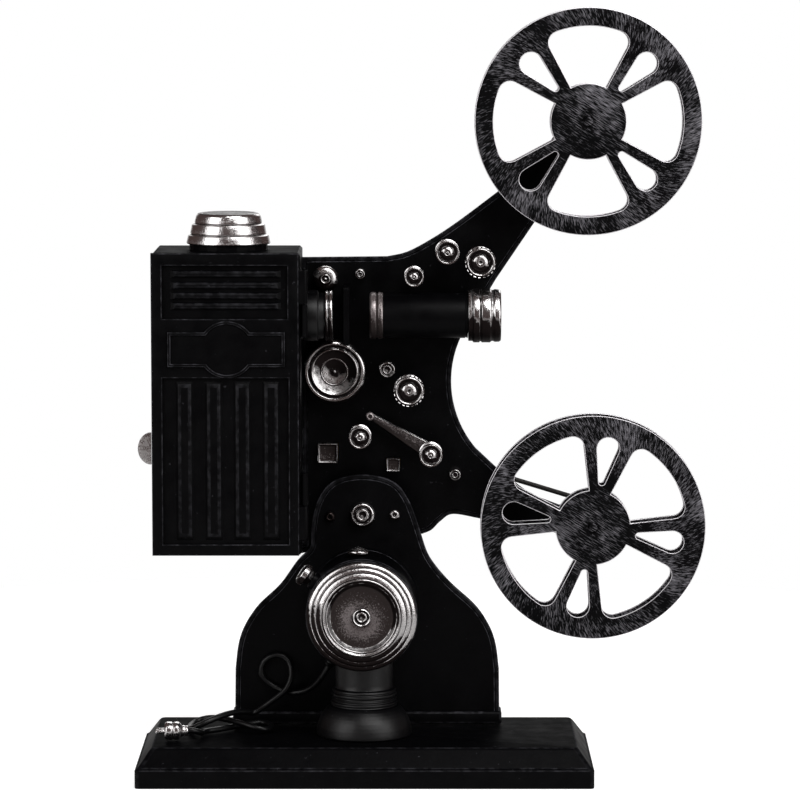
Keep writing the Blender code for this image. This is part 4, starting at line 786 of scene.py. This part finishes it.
def rollers_and_studs():
    """The rollers that lead the film, and the plain studs between them."""
    front, back = FILM_Y - 6, FILM_Y + 6
    face = [(0, -0.2), (0.1, -0.2), (0.15, 0.2), (0.2, -0.1), (0.36, 0.2), (0.49, 0.8), (0.54, 1.2)]
    face += [(0.7, 1.2), (0.8, 0.1), (0.93, 0), (1, 0.5), (1, 1.6)]
    for node, (axis, radius) in ROLLERS.items():
        core = radius - 1.3
        spool = [(radius * share, front + depth) for share, depth in face]
        spool += [(core, front + 2), (core, back - 2), (radius, back - 1.6), (radius, back)]
        spool += [(2, back), (2, FRAME_BACK - 2), (0, FRAME_BACK - 2)]
        silver_on_y(node, axis, spool, node, 48, 0.15)
    face = [(0, 20.9), (0.3, 20.9), (0.4, 20.4), (0.5, 20.4), (0.58, 20.9), (0.66, 20.8), (0.76, 20.1)]
    face += [(0.9, 20.2), (1, 21.0), (1, SEAT)]
    for node, (axis, radius) in STUDS.items():
        pin = [(radius * share, y) for share, y in face]
        silver_on_y(node, axis, [*pin, (1.5, SEAT), (1.5, SEAT + 4), (0, SEAT + 4)], "head", 40, 0.12)


def knobs_and_sprockets():
    """The inching knob, the framing knob and the two toothed sprockets."""
    knob = [(0, 24.2), (0.5, 24.2), (0.9, 24.7), (3.2, 24.6), (5.6, 23.9), (6.0, 23.9), (6.3, 23.6)]
    knob += [(6.9, 23.8), (10.2, 22.5), (10.9, 21.9), (11.6, 22.0), (12.0, 22.6), (12.7, 22.7), (13.1, 22.0)]
    knob += [(14.2, 21.9), (15.0, 22.4), (15.5, 23.4), (15.5, 26.0), (15.0, 26.4), (15.0, 27.0)]
    knob += [(15.5, 27.4), (15.5, 29), (14, SEAT), (3, SEAT), (3, 51), (0, 51)]
    silver_on_y("inching_knob", INCHING, knob, "inching", 80, 0.2)
    knob = [(0, 22.5), (0.4, 22.5), (0.7, 22.9), (1.4, 22.9), (1.8, 22.3), (2.3, 22.3), (2.7, 22.9)]
    knob += [(3.6, 23.0), (4.6, 23.3), (5.4, 23.8), (6.0, 24.6), (6.3, 25.6), (6.3, 29), (5, SEAT)]
    knob += [(1.8, SEAT), (1.8, FRAME_BACK - 1), (0, FRAME_BACK - 1)]
    silver_on_y("framing_knob", FRAMING, knob, "framing", 56, 0.18)
    wheel = [(0, 8.9), (0.5, 8.9), (0.9, 8.5), (2.2, 8.5), (3.4, 8.9), (4.1, 9.7), (4.4, 10.4), (5.2, 10.4)]
    wheel += [(5.6, 9.3), (6.1, 8.9), (6.7, 9.0), (7.2, 9.5), (7.2, 10.9), (5.9, 11.2), (5.9, 18.8)]
    wheel += [(7.2, 19.1), (7.2, 20.6), (6.8, 21), (3, 21), (3, BELT_Y - SHEAVE_HALF)]
    wheel += sheave(SPROCKET_SHEAVE)
    for node, axis in (("upper_sprocket", UPPER_SPROCKET), ("lower_sprocket", LOWER_SPROCKET)):
        shape = turned(along_y(wheel), 80, 0.15)
        for start, end in ((9.3, 10.9), (19.1, 20.6)):
            ridged(shape, 6.9, -end, -start, count=40, depth=0.32)
        piece(f"toothed_{node}", shape, [SILVER], node, [node], on_y(axis), FORWARD)


def lever_and_buttons():
    """The tapered gate lever with its tip knob, and two push buttons in raised frames."""
    tip = Vector(LEVER_TIP) - Vector(LEVER_HUB)
    along = math.degrees(math.atan2(tip.y, tip.x))
    hub, end = 4.6, 1.6
    bar = [*arc((0, 0), hub, along + 60, along + 300, 25), *arc(tip, end, along - 80, along + 80, 11)]
    bore = circle((0, 0), ROLLER_BORE, 24)
    shape = moulded_plate(bar, -LEVER_BACK, -LEVER_FRONT, [bore], LEVER_EDGE, 0.3)
    rub = shape.faces.layers.float["rub"]
    for face in shape.faces:
        face.material_index = int(face[rub] > 0)
    turn_about(shape, rectangle((ROLLER_BORE, -SEAT), (4.2, -LEVER_BACK)), (0, 0), 32, 0.15)
    knob = [(0, -0.3), (1.5, -0.2), (2.1, 0.6), (2.2, 1.4), (1.8, 2.5), (1.2, 2.8), (0.8, 2.5), (0, 2.5)]
    knob = [(radius, rise - LEVER_FRONT) for radius, rise in knob]
    turn_about(shape, knob, tip, 28, 0.12, closed=False)
    piece("forged_gate_lever", shape, [WORN, SILVER], "lever", ["gate_lever"], on_y(LEVER_HUB), FORWARD)

    back, front = -34.5, -27.5
    for node, (axis, width) in BUTTONS.items():
        shape = blank()
        half = width / 2
        block(shape, (-half, -half, back), (half, half, front))
        face = max(shape.faces, key=lambda f: f.calc_center_median().z)
        bmesh.ops.inset_region(shape, faces=[face], thickness=width * 0.1, depth=0)
        bmesh.ops.inset_region(shape, faces=[face], thickness=0.4, depth=-0.9)
        face.material_index = 1
        ease(shape, 0.3, above(front - 1))
        piece(f"framed_{node}", shape, [SILVER, TARNISHED], node, [node], on_y(axis), FORWARD)


def on_lens(name, profile, finish, body, node, sides=72, closed=True, rounding=0.25):
    """A piece turned about the lens axis, from (radius, X) points."""
    shape = turned(profile, sides, rounding, closed)
    return piece(name, shape, [finish], body, [node], (0, FILM_Y, LENS_Z), ALONG_X)


def dome(back, front, radius, back_rise, front_rise):
    """The half profile of a lens that bulges both ways, from (radius, X) points."""
    steps = 8
    shares = [i / steps for i in range(steps + 1)]
    behind = [(radius * s, back + back_rise * s * s) for s in shares]
    ahead = [(radius * s, front - front_rise * s * s) for s in shares]
    return behind + ahead[::-1]


def optics():
    """The condenser and the projection lens, on one axis."""
    tube = [(9, -33.6), (12.4, -33.6), (12.4, -30.8), (12.0, -30.5), (12.0, -29.9), (12.4, -29.6)]
    tube += [(12.4, -23), (11.2, -22.6), (11.2, -20), (9, -20)]
    on_lens("turned_condenser_tube", tube, SATIN, "head", "condenser_tube")
    ring_front = [(9, -19.7), (11.7, -19.7), (12.3, -19.1), (12.3, -18.3), (11.8, -18.0), (11.8, -17.5)]
    ring_front += [(12.3, -17.2), (12.3, -16.1), (11.6, -15.5), (10, -15.5), (9, -16.4)]
    on_lens("turned_condenser_ring", ring_front, SILVER, "head", "condenser_ring", rounding=0.15)
    glass = dome(-31.5, -25.5, radius=8.7, back_rise=2.0, front_rise=2.5)
    on_lens("ground_condenser_lens", glass, GLASS, "head", "condenser_lens", closed=False)
    ring_rear = [(8.5, 2.2), (10.6, 2.2), (11.4, 3), (11.4, 5.2), (10.9, 5.5), (10.9, 6.2), (11.4, 6.5)]
    ring_rear += [(11.4, 7.6), (11, 8.7), (8.5, 8.7)]
    on_lens("turned_lens_ring", ring_rear, TARNISHED, "head", "lens_rear_ring", rounding=0.15)

    sleeve = [(8.5, 9), (11, 9), (11, 48.6), (10.7, 48.9), (10.7, 49.4), (11, 49.7), (11, 50), (8.5, 50)]
    shape = turned(sleeve, 72, 0.2, closed=True)
    arm = block(shape, (-6, 10.2, 16), (6, SEAT - FILM_Y, 44))
    ease(shape, 1.0, meeting(arm), segments=3, rubbed=0.5)
    piece("turned_lens_holder", shape, [ENAMEL], "head", ["lens_holder"], (0, FILM_Y, LENS_Z), ALONG_X)
    focus = [(6.5, 14), (8.2, 14), (8.2, 50.3), (12.4, 50.3), (12.4, 52.2), (13.15, 52.8), (13.15, 55.6)]
    focus += [(12.6, 55.9), (12.6, 56.5), (13.15, 56.8), (13.15, 60.8), (12.5, 61.5), (12.4, 62.2)]
    focus += [(12.9, 63.2), (12.8, 65.2), (12.2, 66.1), (10.2, 66.1), (9.6, 65.4), (8.8, 63.4), (6.5, 63)]
    on_lens("turned_focus_tube", focus, SILVER, "lens", "lens_focus_tube", rounding=0.18)
    glass = dome(57, 62.4, radius=6.2, back_rise=1.6, front_rise=1.8)
    on_lens("ground_front_lens", glass, GLASS, "lens", "lens_glass", closed=False)


def lamphouse():
    """The stepped chimney cap, the lamp in its socket and the mirror behind it."""
    rim, dish = LAMP_TOP + LAMP_ROOF + GAP, 14.5
    cap = [(0, 0), (20.0, 0), (20.4, 0.4), (20.3, 1.0), (19.7, 4.2), (18.5, 4.5), (18.2, 4.8), (18.5, 5.2)]
    cap += [(18.4, 5.9), (17.8, 9.4), (16.6, 9.7), (16.1, 10.0), (16.4, 10.4), (16.3, 11.2), (15.7, 13.6)]
    cap += [(14.8, 14.7), (13.2, 15.1), (11.6, 14.7), (5.0, 15.2), (0, 15.4)]
    shape = turned([(radius, rim + rise) for radius, rise in cap], 88, 0.25)
    # Painted shade: the top of the cap is given the darkest silver.
    second_finish(shape, lambda p: p.z > rim + dish)
    piece("spun_chimney_cap", shape, [HANDLED, DARK_SILVER], "head", ["chimney_cap"], (LAMP_X, CHIMNEY_Y, 0))
    floor = LAMP_BOTTOM + LAMP_SHEET + GAP
    post = [(0, floor), (12, floor), (12, floor + 3), (6, floor + 4), (6, 176), (9, 178), (9, 181)]
    post += [(8.4, 181.6), (8.4, 183), (9, 183.6), (9, 190), (0, 190)]
    piece("turned_lamp_socket", turned(post, 48), [BRASS], "head", ["lamp_socket"], (LAMP_X, FILM_Y, 0))
    bulb = [(0, 190.3), (7.5, 190.3), (7.5, 199), (9.6, 201.4), (12, 203.4), (12.5, 206), (12.5, 232)]
    bulb += [(11.4, 236.4), (9, 240), (6, 242.4), (3, 243.6), (0, 244)]
    piece("blown_lamp_bulb", turned(bulb, 48, 0.6), [GLASS], "head", ["lamp_bulb"], (LAMP_X, FILM_Y, 0))
    wall = LAMP_LEFT + LAMP_SHEET + GAP
    mirror = [(0, wall), (3, wall), (3, -92.5), (7.5, -92), (12, -91), (16.4, -89), (20, -86.5), (20, -85)]
    mirror += [(16.2, -87.6), (12, -89.4), (6, -90.6), (0, -91)]
    on_lens("spun_lamp_mirror", mirror, STEEL, "head", "lamp_reflector", 56, closed=False, rounding=0.15)


def ridge(shape, centre, half_width, start, end, low, crest, upright):
    """Adds a rounded ridge with slanted ends, which runs along the door's height or width."""
    narrowing, slant = 0.42, 1.5
    rise, middle = crest - low, (start + end) / 2
    fit = Matrix.Translation((centre, middle, low + rise / 2))
    if not upright:
        crosswise = Matrix(((0, 1, 0, 0), (1, 0, 0, 0), (0, 0, 1, 0), (0, 0, 0, 1)))
        fit = crosswise @ fit
    fit = fit @ Matrix.Diagonal((2 * half_width, end - start, rise, 1))
    verts = bmesh.ops.create_cube(shape, size=1, matrix=fit)["verts"]
    top = [v for v in verts if v.co.z > low + rise / 2]
    side, along = (0, 1) if upright else (1, 0)
    for v in top:
        v.co[side] += (centre - v.co[side]) * narrowing
        v.co[along] += math.copysign(slant * rise, middle - v.co[along])
    crown = {e for v in top for e in v.link_edges if e.other_vert(v) in top}
    ease(shape, 0.5 * rise, lambda e: e in crown, segments=3, least=15, rubbed=0.35)


def name_plate(inset, x0):
    """A bar with a round swelling in its middle, as an outline that can be inset."""
    left, right, low, high = -94.5 + inset - x0, -38.2 - inset - x0, 199.9 + inset, 216.6 - inset
    centre, radius = (-66.0 - x0, 208.3), 13.7 - inset
    rise = math.degrees(math.asin((high - centre[1]) / radius))
    fall = math.degrees(math.asin((centre[1] - low) / radius))
    over = arc(centre, radius, rise, 180 - rise, 19)
    under = arc(centre, radius, 180 + fall, 360 - fall, 19)
    return [(right, low), (right, high), *over, (left, high), (left, low), *under]


def pressed_door():
    """The lamphouse door with louvres, a blank name plate and ribs on its face, its hinge leaf and its pull.

    All but the hinge leaf, which stands upright, is drawn with Y as the height and Z coming forward. X is
    measured from the hinge axis.
    """
    x0, at = HINGE[0], (*HINGE, 0)
    back, face = HINGE[1] - LAMP_FRONT + GAP, HINGE[1] - DOOR_FRONT
    floor, sunk, hair = face - 1.8, 0.3, 0.01
    whole = ((LAMP_LEFT, LAMP_BOTTOM), (DOOR_EDGE, LAMP_TOP))
    panels = (((-97.1, 222.9), (-37.0, 248.5)), ((-97.1, 113.8), (-36.5, 194.4)))
    shape = blank()
    loops = []
    for low, high in (whole, *panels):
        loops.append(ring(shape, [(x - x0, z) for x, z in rectangle(low, high)], face))
    fill(shape, [e for loop in loops for e in loop])
    for loop, depth in zip(loops, (back, floor, floor)):
        bmesh.ops.edgeloop_fill(shape, edges=walls(shape, loop, depth))
    ease(shape, 0.5, above(face - hair), least=60, rubbed=0.8)
    louvres, louvre_half, louvre_ends = (244.5, 239.0, 234.0, 229.1), 1.9, (-93.5 - x0, -39.5 - x0)
    ribs, rib_half, rib_ends = (-86.5, -72.5, -58.8, -44.9), 4.5, (115.3, 193.6)
    for z in louvres:
        ridge(shape, z, louvre_half, *louvre_ends, floor - sunk, face - 0.3, upright=False)
    for x in ribs:
        ridge(shape, x - x0, rib_half, *rib_ends, floor - sunk, face - 0.2, upright=True)
    piece("pressed_door", shape, [ENAMEL], "door", ["lamphouse_door"], at, FORWARD)

    band, border_rise, field_rise = 1.5, 1.1, 0.35
    border = plate(name_plate(0, x0), face, face + border_rise, [name_plate(band, x0)])
    ease(border, 0.45, above(face + border_rise - hair))
    field = plate(name_plate(band, x0), face, face + field_rise)
    piece("name_plate_border", border, [ENAMEL], "door", [], at, FORWARD)
    piece("name_plate_field", field, [ENAMEL], "door", [], at, FORWARD)

    shape = blank()
    pin, knuckle = 1.05, 1.7
    for low, high in ((116, 132), (230, 246)):
        block(shape, (DOOR_EDGE - x0 - 1, 0.6 - face, low), (0.2, -0.6, high))
        turned(rectangle((pin, low), (knuckle, high)), 28, 0.15, closed=True, shape=shape)
    piece("door_hinge_leaf", shape, [ENAMEL], "door", [], at, UPRIGHT)

    low, high, tip = 152.6, 168.1, -109.1
    reach, edge = (high - low) / 2, LAMP_LEFT - GAP
    bow = arc((0, low + reach), reach, 90, 270, 33)
    bow = [(edge + x * (edge - tip) / reach - x0, z) for x, z in bow]
    outer = LAMP_LEFT - x0 - 0.4
    grip = plate(bow, 0.8, 3.4)
    ease(grip, 0.6, lambda e: all(v.co.x < outer for v in e.verts), segments=3)
    piece("stamped_door_pull", grip, [HANDLED], "door", ["door_pull"], at, FORWARD)


def window(middle):
    """A reel window: a sector with rounded corners, about an angle in degrees."""
    outer = WINDOW_OUTER - WINDOW_CORNER
    swing = WINDOW_HALF - math.degrees(math.asin(WINDOW_CORNER / outer))
    corners = []
    for side in (-1, 1):
        centre = polar(outer, middle + side * swing)
        start = middle + side * (WINDOW_HALF + 90)
        corners.append(arc(centre, WINDOW_CORNER, start, middle + side * swing, 8))
    rim = arc((0, 0), WINDOW_OUTER, middle - swing, middle + swing, 17)[1:-1]
    hub = arc((0, 0), WINDOW_INNER, middle + WINDOW_HALF, middle - WINDOW_HALF, 13)
    return [*corners[0], *rim, *corners[1][::-1], *hub]


def teardrop(middle):
    """A small hole between two spokes, wider towards the rim."""
    lean = math.degrees(math.asin((DROP_WIDE - DROP_NARROW) / (DROP_OUTER - DROP_INNER)))
    wide = arc(polar(DROP_OUTER, middle), DROP_WIDE, middle - 90 - lean, middle + 90 + lean, 20)
    narrow = arc(polar(DROP_INNER, middle), DROP_NARROW, middle + 90 + lean, middle + 270 - lean, 9)
    return [*wide, *narrow]


def pierced_flange(turn, low, high):
    """One side of a reel, with four windows and four small holes."""
    beyond_bore = 4
    holes = []
    for quarter in range(4):
        holes += [window(turn + 90 * quarter), teardrop(turn + 45 + 90 * quarter)]
    holes.append(circle((0, 0), REEL_BORE, 24))
    shape = plate(circle((0, 0), REEL_RADIUS, 120), low, high, holes)
    return ease(shape, 0.3, lambda e: all(v.co.xy.length > beyond_bore for v in e.verts), least=60)


def reel(name, axis, turn, finish, tail):
    """A reel of two pierced flanges on a core, with its spindle."""
    at = on_y(axis)
    front, back = FILM_Y - 5, FILM_Y + 5
    shape = pierced_flange(turn, -front, -front + FLANGE)
    piece(f"pierced_{name}_front", shape, [finish], name, [f"{name}_front_flange"], at, FORWARD)
    shape = pierced_flange(turn, -back - FLANGE, -back)
    core = rectangle((REEL_BORE, -back), (CORE_RADIUS, -front - GAP))
    turn_about(shape, core, (0, 0), 64, 0.2)
    piece(f"pierced_{name}_back", shape, [finish], name, [f"{name}_drum"], at, FORWARD)
    stop = back + FLANGE + GAP
    spindle = [(0, front - 2.2), (1.6, front - 2.2), (2.4, front - 1.4), (2.4, stop), (7, stop), (7, SEAT)]
    shape = turned(along_y([*spindle, (4, SEAT), *tail]), 40, 0.2)
    piece(f"turned_{name}_spindle", shape, [finish], name, [f"{name}_spindle"], at, FORWARD)


def reels():
    """The upper reel, held by a collar, and the lower one, which a belt takes up."""
    near, far = FRAME_BACK + GAP, FRAME_BACK + 6
    reel("upper_reel", UPPER_REEL, 0, UPPER_BRUSHED, [(4, near), (7, near), (7, far), (0, far)])
    take_up = [(4, BELT_Y - SHEAVE_HALF), *sheave(REEL_SHEAVE)]
    reel("lower_reel", LOWER_REEL, LOWER_REEL_TURN, LOWER_BRUSHED, take_up)


def round_tube(name, points, radius, finish):
    """A curve with round thickness along points, as data for an object."""
    data = bpy.data.curves.new(name, "CURVE")
    data.dimensions = "3D"
    data.bevel_depth = radius * MM
    data.bevel_resolution = 4
    line = data.splines.new("POLY")
    line.points.add(len(points) - 1)
    for point, spot in zip(line.points, points):
        point.co = (*(Vector(spot) * MM), 1)
    line.use_smooth = True
    data.materials.append(finish)
    return data


def belt(name, axis, radius, other, other_radius, body):
    """A round leather belt, drawn tight round two pulleys."""
    seat = BELT_RADIUS + GAP
    radius, other_radius = radius + seat, other_radius + seat
    apart = Vector(other) - Vector(axis)
    along = math.degrees(math.atan2(apart.y, apart.x))
    lap = math.degrees(math.acos((radius - other_radius) / apart.length))
    path = arc(axis, radius, along + lap, along + 360 - lap, 33)
    path += arc(other, other_radius, along - lap, along + lap, 33)
    data = round_tube(name, [(x, BELT_Y, z) for x, z in path], BELT_RADIUS, LEATHER)
    data.splines[0].use_cyclic_u = True
    made = bpy.data.objects.new(f"leather_{name}", data)
    bpy.context.scene.collection.objects.link(made)
    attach(made, body)
    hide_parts(name)


def belts():
    """The three belts behind the frame."""
    belt("drive_belt", MOTOR, MOTOR_SHEAVE, PIVOT, DRIVE_SHEAVE, "stand")
    belt("feed_belt", LOWER_SPROCKET, SPROCKET_SHEAVE, UPPER_SPROCKET, SPROCKET_SHEAVE, "head")
    belt("take_up_belt", IDLER, REEL_SHEAVE, LOWER_REEL, REEL_SHEAVE, "head")


# The mains lead, along the same points as its solids
CORD = 1.5
HANK, HANK_HALF_LENGTH, HANK_WIDTH, HANK_LAYER, HANK_TAIL = (-66.0, 3.0), 20.0, 19.0, 3.5, 0.42
HANK_STEPS = 54
PLUG, PLUG_RADIUS, PLUG_ENTRY, PIN_APART = (-91.5, -20.0), 4.4, (8.6, 6.3), 2.2
LEAD_KNOTS = [
    (-20.6, 7.0, 45.6), (-24.5, 9.5, 40.3), (-29.4, 12.5, 36.6), (-35.5, 15.5, 35.0), (-42.0, 18.2, 36.0),
    (-48.0, 19.6, 39.2), (-51.6, 20.0, 44.0), (-50.0, 20.0, 50.0), (-44.2, 19.6, 53.2), (-38.0, 18.6, 50.6),
    (-36.4, 15.6, 44.0), (-38.8, 13.4, 37.6), (-43.6, 12.9, 33.2),
]
TAIL_KNOTS = [(-79.2, -11.6, 20.6), (-79.4, -16.8, 21.6)]


def hank_points():
    """A bow of two loops: the lead crosses over to the left loop, the right one, and out below."""
    rest = BASE_HEIGHT + CORD + GAP
    start, end = math.pi / 2 - HANK_TAIL, 5 * math.pi / 2 + HANK_TAIL
    made = []
    for i in range(HANK_STEPS + 1):
        t = start + (end - start) * i / HANK_STEPS
        layer = max(2 - (t - math.pi / 2) / math.pi, 0)
        x = HANK[0] + HANK_HALF_LENGTH * math.cos(t)
        y = HANK[1] + HANK_WIDTH / 2 * math.sin(2 * t)
        made.append((x, y, rest + HANK_LAYER * layer * math.sin(t) ** 2))
    return made


def leaving(before, end):
    """Two points straight on from the end of a tube, the first one just clear of its face."""
    onward = (Vector(end) - Vector(before)).normalized()
    return [tuple(Vector(end) + onward * reach) for reach in (2 * GAP, 3 * CORD)]


def lead_points():
    """The whole lead, from the motor's gland through the curl and the hank to the plug."""
    gland = polar(GLAND_REACH + GAP, GLAND_ANGLE, MOTOR)
    hank = hank_points()
    lead = smooth_line([(gland[0], GLAND_Y, gland[1]), *LEAD_KNOTS, *leaving(hank[1], hank[0])[::-1]], 2)
    entry = [(PLUG[0] + reach, PLUG[1], ON_BASE + PLUG_RADIUS) for reach in PLUG_ENTRY]
    return [*lead, *hank, *smooth_line([*leaving(hank[-2], hank[-1]), *TAIL_KNOTS, *entry], 2)]


def silvered_plug():
    """The two-pin plug at the end of the lead."""
    grip = [(0, -6), (2.3, -6), (2.6, -5.4), (2.4, -4.6), (2.7, -3.8), (2.6, -3), (3.6, -2.2)]
    grip += [(PLUG_RADIUS, -1.3), (PLUG_RADIUS, 0.6), (4.0, 1.0), (4.0, 1.6), (PLUG_RADIUS, 2.0)]
    grip += [(PLUG_RADIUS, 4.3), (3.8, 5.2), (0, 5.2)]
    shape = turned(grip, 40, 0.15)
    for side in (-PIN_APART, PIN_APART):
        pin = [(0, 4), (0.9, 4), (0.9, 9.2), (0.5, 9.8), (0, 9.8)]
        turn_about(shape, pin, (0, side), 20, 0.1, closed=False)
    at = (*PLUG, ON_BASE + PLUG_RADIUS)
    return piece("silvered_plug", shape, [HANDLED], "stand", ["plug_body"], at, AGAINST_X)


def mains_lead():
    """The lead from the motor to the plug, as one rubber cord."""
    route = lead_points()
    data = round_tube("mains_lead", route, CORD, RUBBER)
    data.use_fill_caps = True
    made = bpy.data.objects.new("mains_lead", data)
    bpy.context.scene.collection.objects.link(made)
    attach(made, "stand")
    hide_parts("power_cord", "cord_hank", "cord_tail")
    silvered_plug()


def aimed(name, data, at):
    """Puts a camera or a lamp at a place, pointed at the middle of the object."""
    made = bpy.data.objects.new(name, data)
    made.location = at
    made.rotation_euler = (AIM - Vector(at)).to_track_quat("-Z", "Y").to_euler()
    bpy.context.scene.collection.objects.link(made)
    return made


def camera():
    """The camera of the photograph."""
    rise = math.radians(CAMERA_RISE)
    data = bpy.data.cameras.new("camera")
    data.lens = CAMERA_LENS
    data.sensor_width = CAMERA_SENSOR
    back = Vector((0, -math.cos(rise), math.sin(rise)))
    bpy.context.scene.camera = aimed("camera", data, AIM + back * CAMERA_REACH)


def softbox(name, at, width, height, watts):
    """A soft lamp that points at the middle of the object."""
    data = bpy.data.lights.new(name, "AREA")
    data.shape = "RECTANGLE"
    data.size = width
    data.size_y = height
    data.energy = watts
    aimed(name, data, at)


def seen_directly(tree):
    """Whether a ray comes from the camera, also through glass, and whether it comes off a shiny surface."""
    ray = add(tree, "LightPath").outputs
    direct = {0: ray["Is Camera Ray"], 1: ray["Is Transmission Ray"]}
    return add(tree, "Math", direct, operation="MAXIMUM"), ray["Is Glossy Ray"]


def room():
    """A dim warm room with a white backdrop behind the object."""
    world = bpy.data.worlds.new("studio")
    bpy.context.scene.world = world
    world.use_nodes = True
    tree = world.node_tree
    seen, glossy = seen_directly(tree)
    way = add(tree, "SeparateXYZ", {0: add(tree, "TexCoord").outputs["Generated"]}).outputs["Y"]
    backwards = {"Value": way, "From Min": 0.86, "From Max": 0.97}
    behind = add(tree, "MapRange", backwards, interpolation_type="SMOOTHSTEP")
    mirrored = add(tree, "Math", {0: glossy, 1: behind}, operation="MULTIPLY")
    white = add(tree, "Math", {0: seen, 1: mirrored}, operation="MAXIMUM")
    dim = add(tree, "Background", {"Color": linear("#3d3230"), "Strength": 1.6})
    backdrop = add(tree, "Background", {"Color": (1, 1, 1, 1), "Strength": 1.0})
    mixed = add(tree, "MixShader", {0: white, 1: dim, 2: backdrop})
    wire(tree.nodes["World Output"], {"Surface": mixed})


def paper_floor():
    """A round of white paper just under the object, which shows as white as the backdrop."""
    radius, drop, in_mirrors, brightness = 0.6, 0.0002, 0.15, 0.8
    finish, tree, shader = blank_material("white_paper_floor")
    tree.nodes.remove(shader)
    seen, glossy = seen_directly(tree)
    mirrored = add(tree, "Math", {0: glossy, 1: in_mirrors}, operation="MULTIPLY")
    shown = add(tree, "Math", {0: seen, 1: mirrored}, operation="MAXIMUM")
    glow = add(tree, "Math", {0: shown, 1: brightness}, operation="MULTIPLY")
    lit = add(tree, "Emission", {"Strength": glow})
    paper = add(tree, "BsdfDiffuse", {"Color": linear("#c0c0c0")})
    both = add(tree, "AddShader", {0: lit, 1: paper})
    wire(tree.nodes["Material Output"], {"Surface": both})
    shape = bmesh.new()
    bmesh.ops.create_circle(shape, cap_ends=True, segments=96, radius=radius)
    bmesh.ops.translate(shape, verts=shape.verts, vec=(0, 0, -drop))
    mesh = bpy.data.meshes.new("floor")
    shape.to_mesh(mesh)
    shape.free()
    mesh.materials.append(finish)
    floor = bpy.data.objects.new("floor", mesh)
    bpy.context.scene.collection.objects.link(floor)


def studio():
    """The room, four soft lamps round the object and a paper floor."""
    bpy.context.scene.view_settings.view_transform = "Standard"
    room()
    softbox("softbox_above", (0.45, -0.85, 1.45), width=0.9, height=0.9, watts=18)
    softbox("softbox_right", (1.05, -0.85, 0.6), width=1.0, height=1.2, watts=10)
    softbox("softbox_left", (-1.05, -0.85, 0.6), width=1.0, height=1.2, watts=10)
    softbox("softbox_behind", (0.2, 1.3, 1.05), width=1.0, height=0.8, watts=7)
    paper_floor()


def plain_solids():
    """Gives each solid that still shows the finish of its slot, and eases its edges."""
    same_corner, rounding = 0.001 * MM, 0.4 * MM
    for part in frame["record"]["subparts"]:
        shown = frame["nodes"][part["node"]]
        if not shown.hide_render:
            shown.data.materials.clear()
            shown.data.materials.append(FINISHES[part["material_slot"]][0])
            joined = shown.modifiers.new("joined_corners", "WELD")
            joined.merge_threshold = same_corner
            eased = shown.modifiers.new("eased_edges", "BEVEL")
            eased.width = rounding
            eased.segments = 2
            eased.limit_method = "ANGLE"
            eased.angle_limit = CREASE


camera()
studio()
mains_lead()
cast_base()
cast_bracket()
stand_fittings()
handwheel()
armature()
speed_knob()
motor()
cast_frame()
rollers_and_studs()
knobs_and_sprockets()
lever_and_buttons()
optics()
lamphouse()
pressed_door()
reels()
belts()
plain_solids()
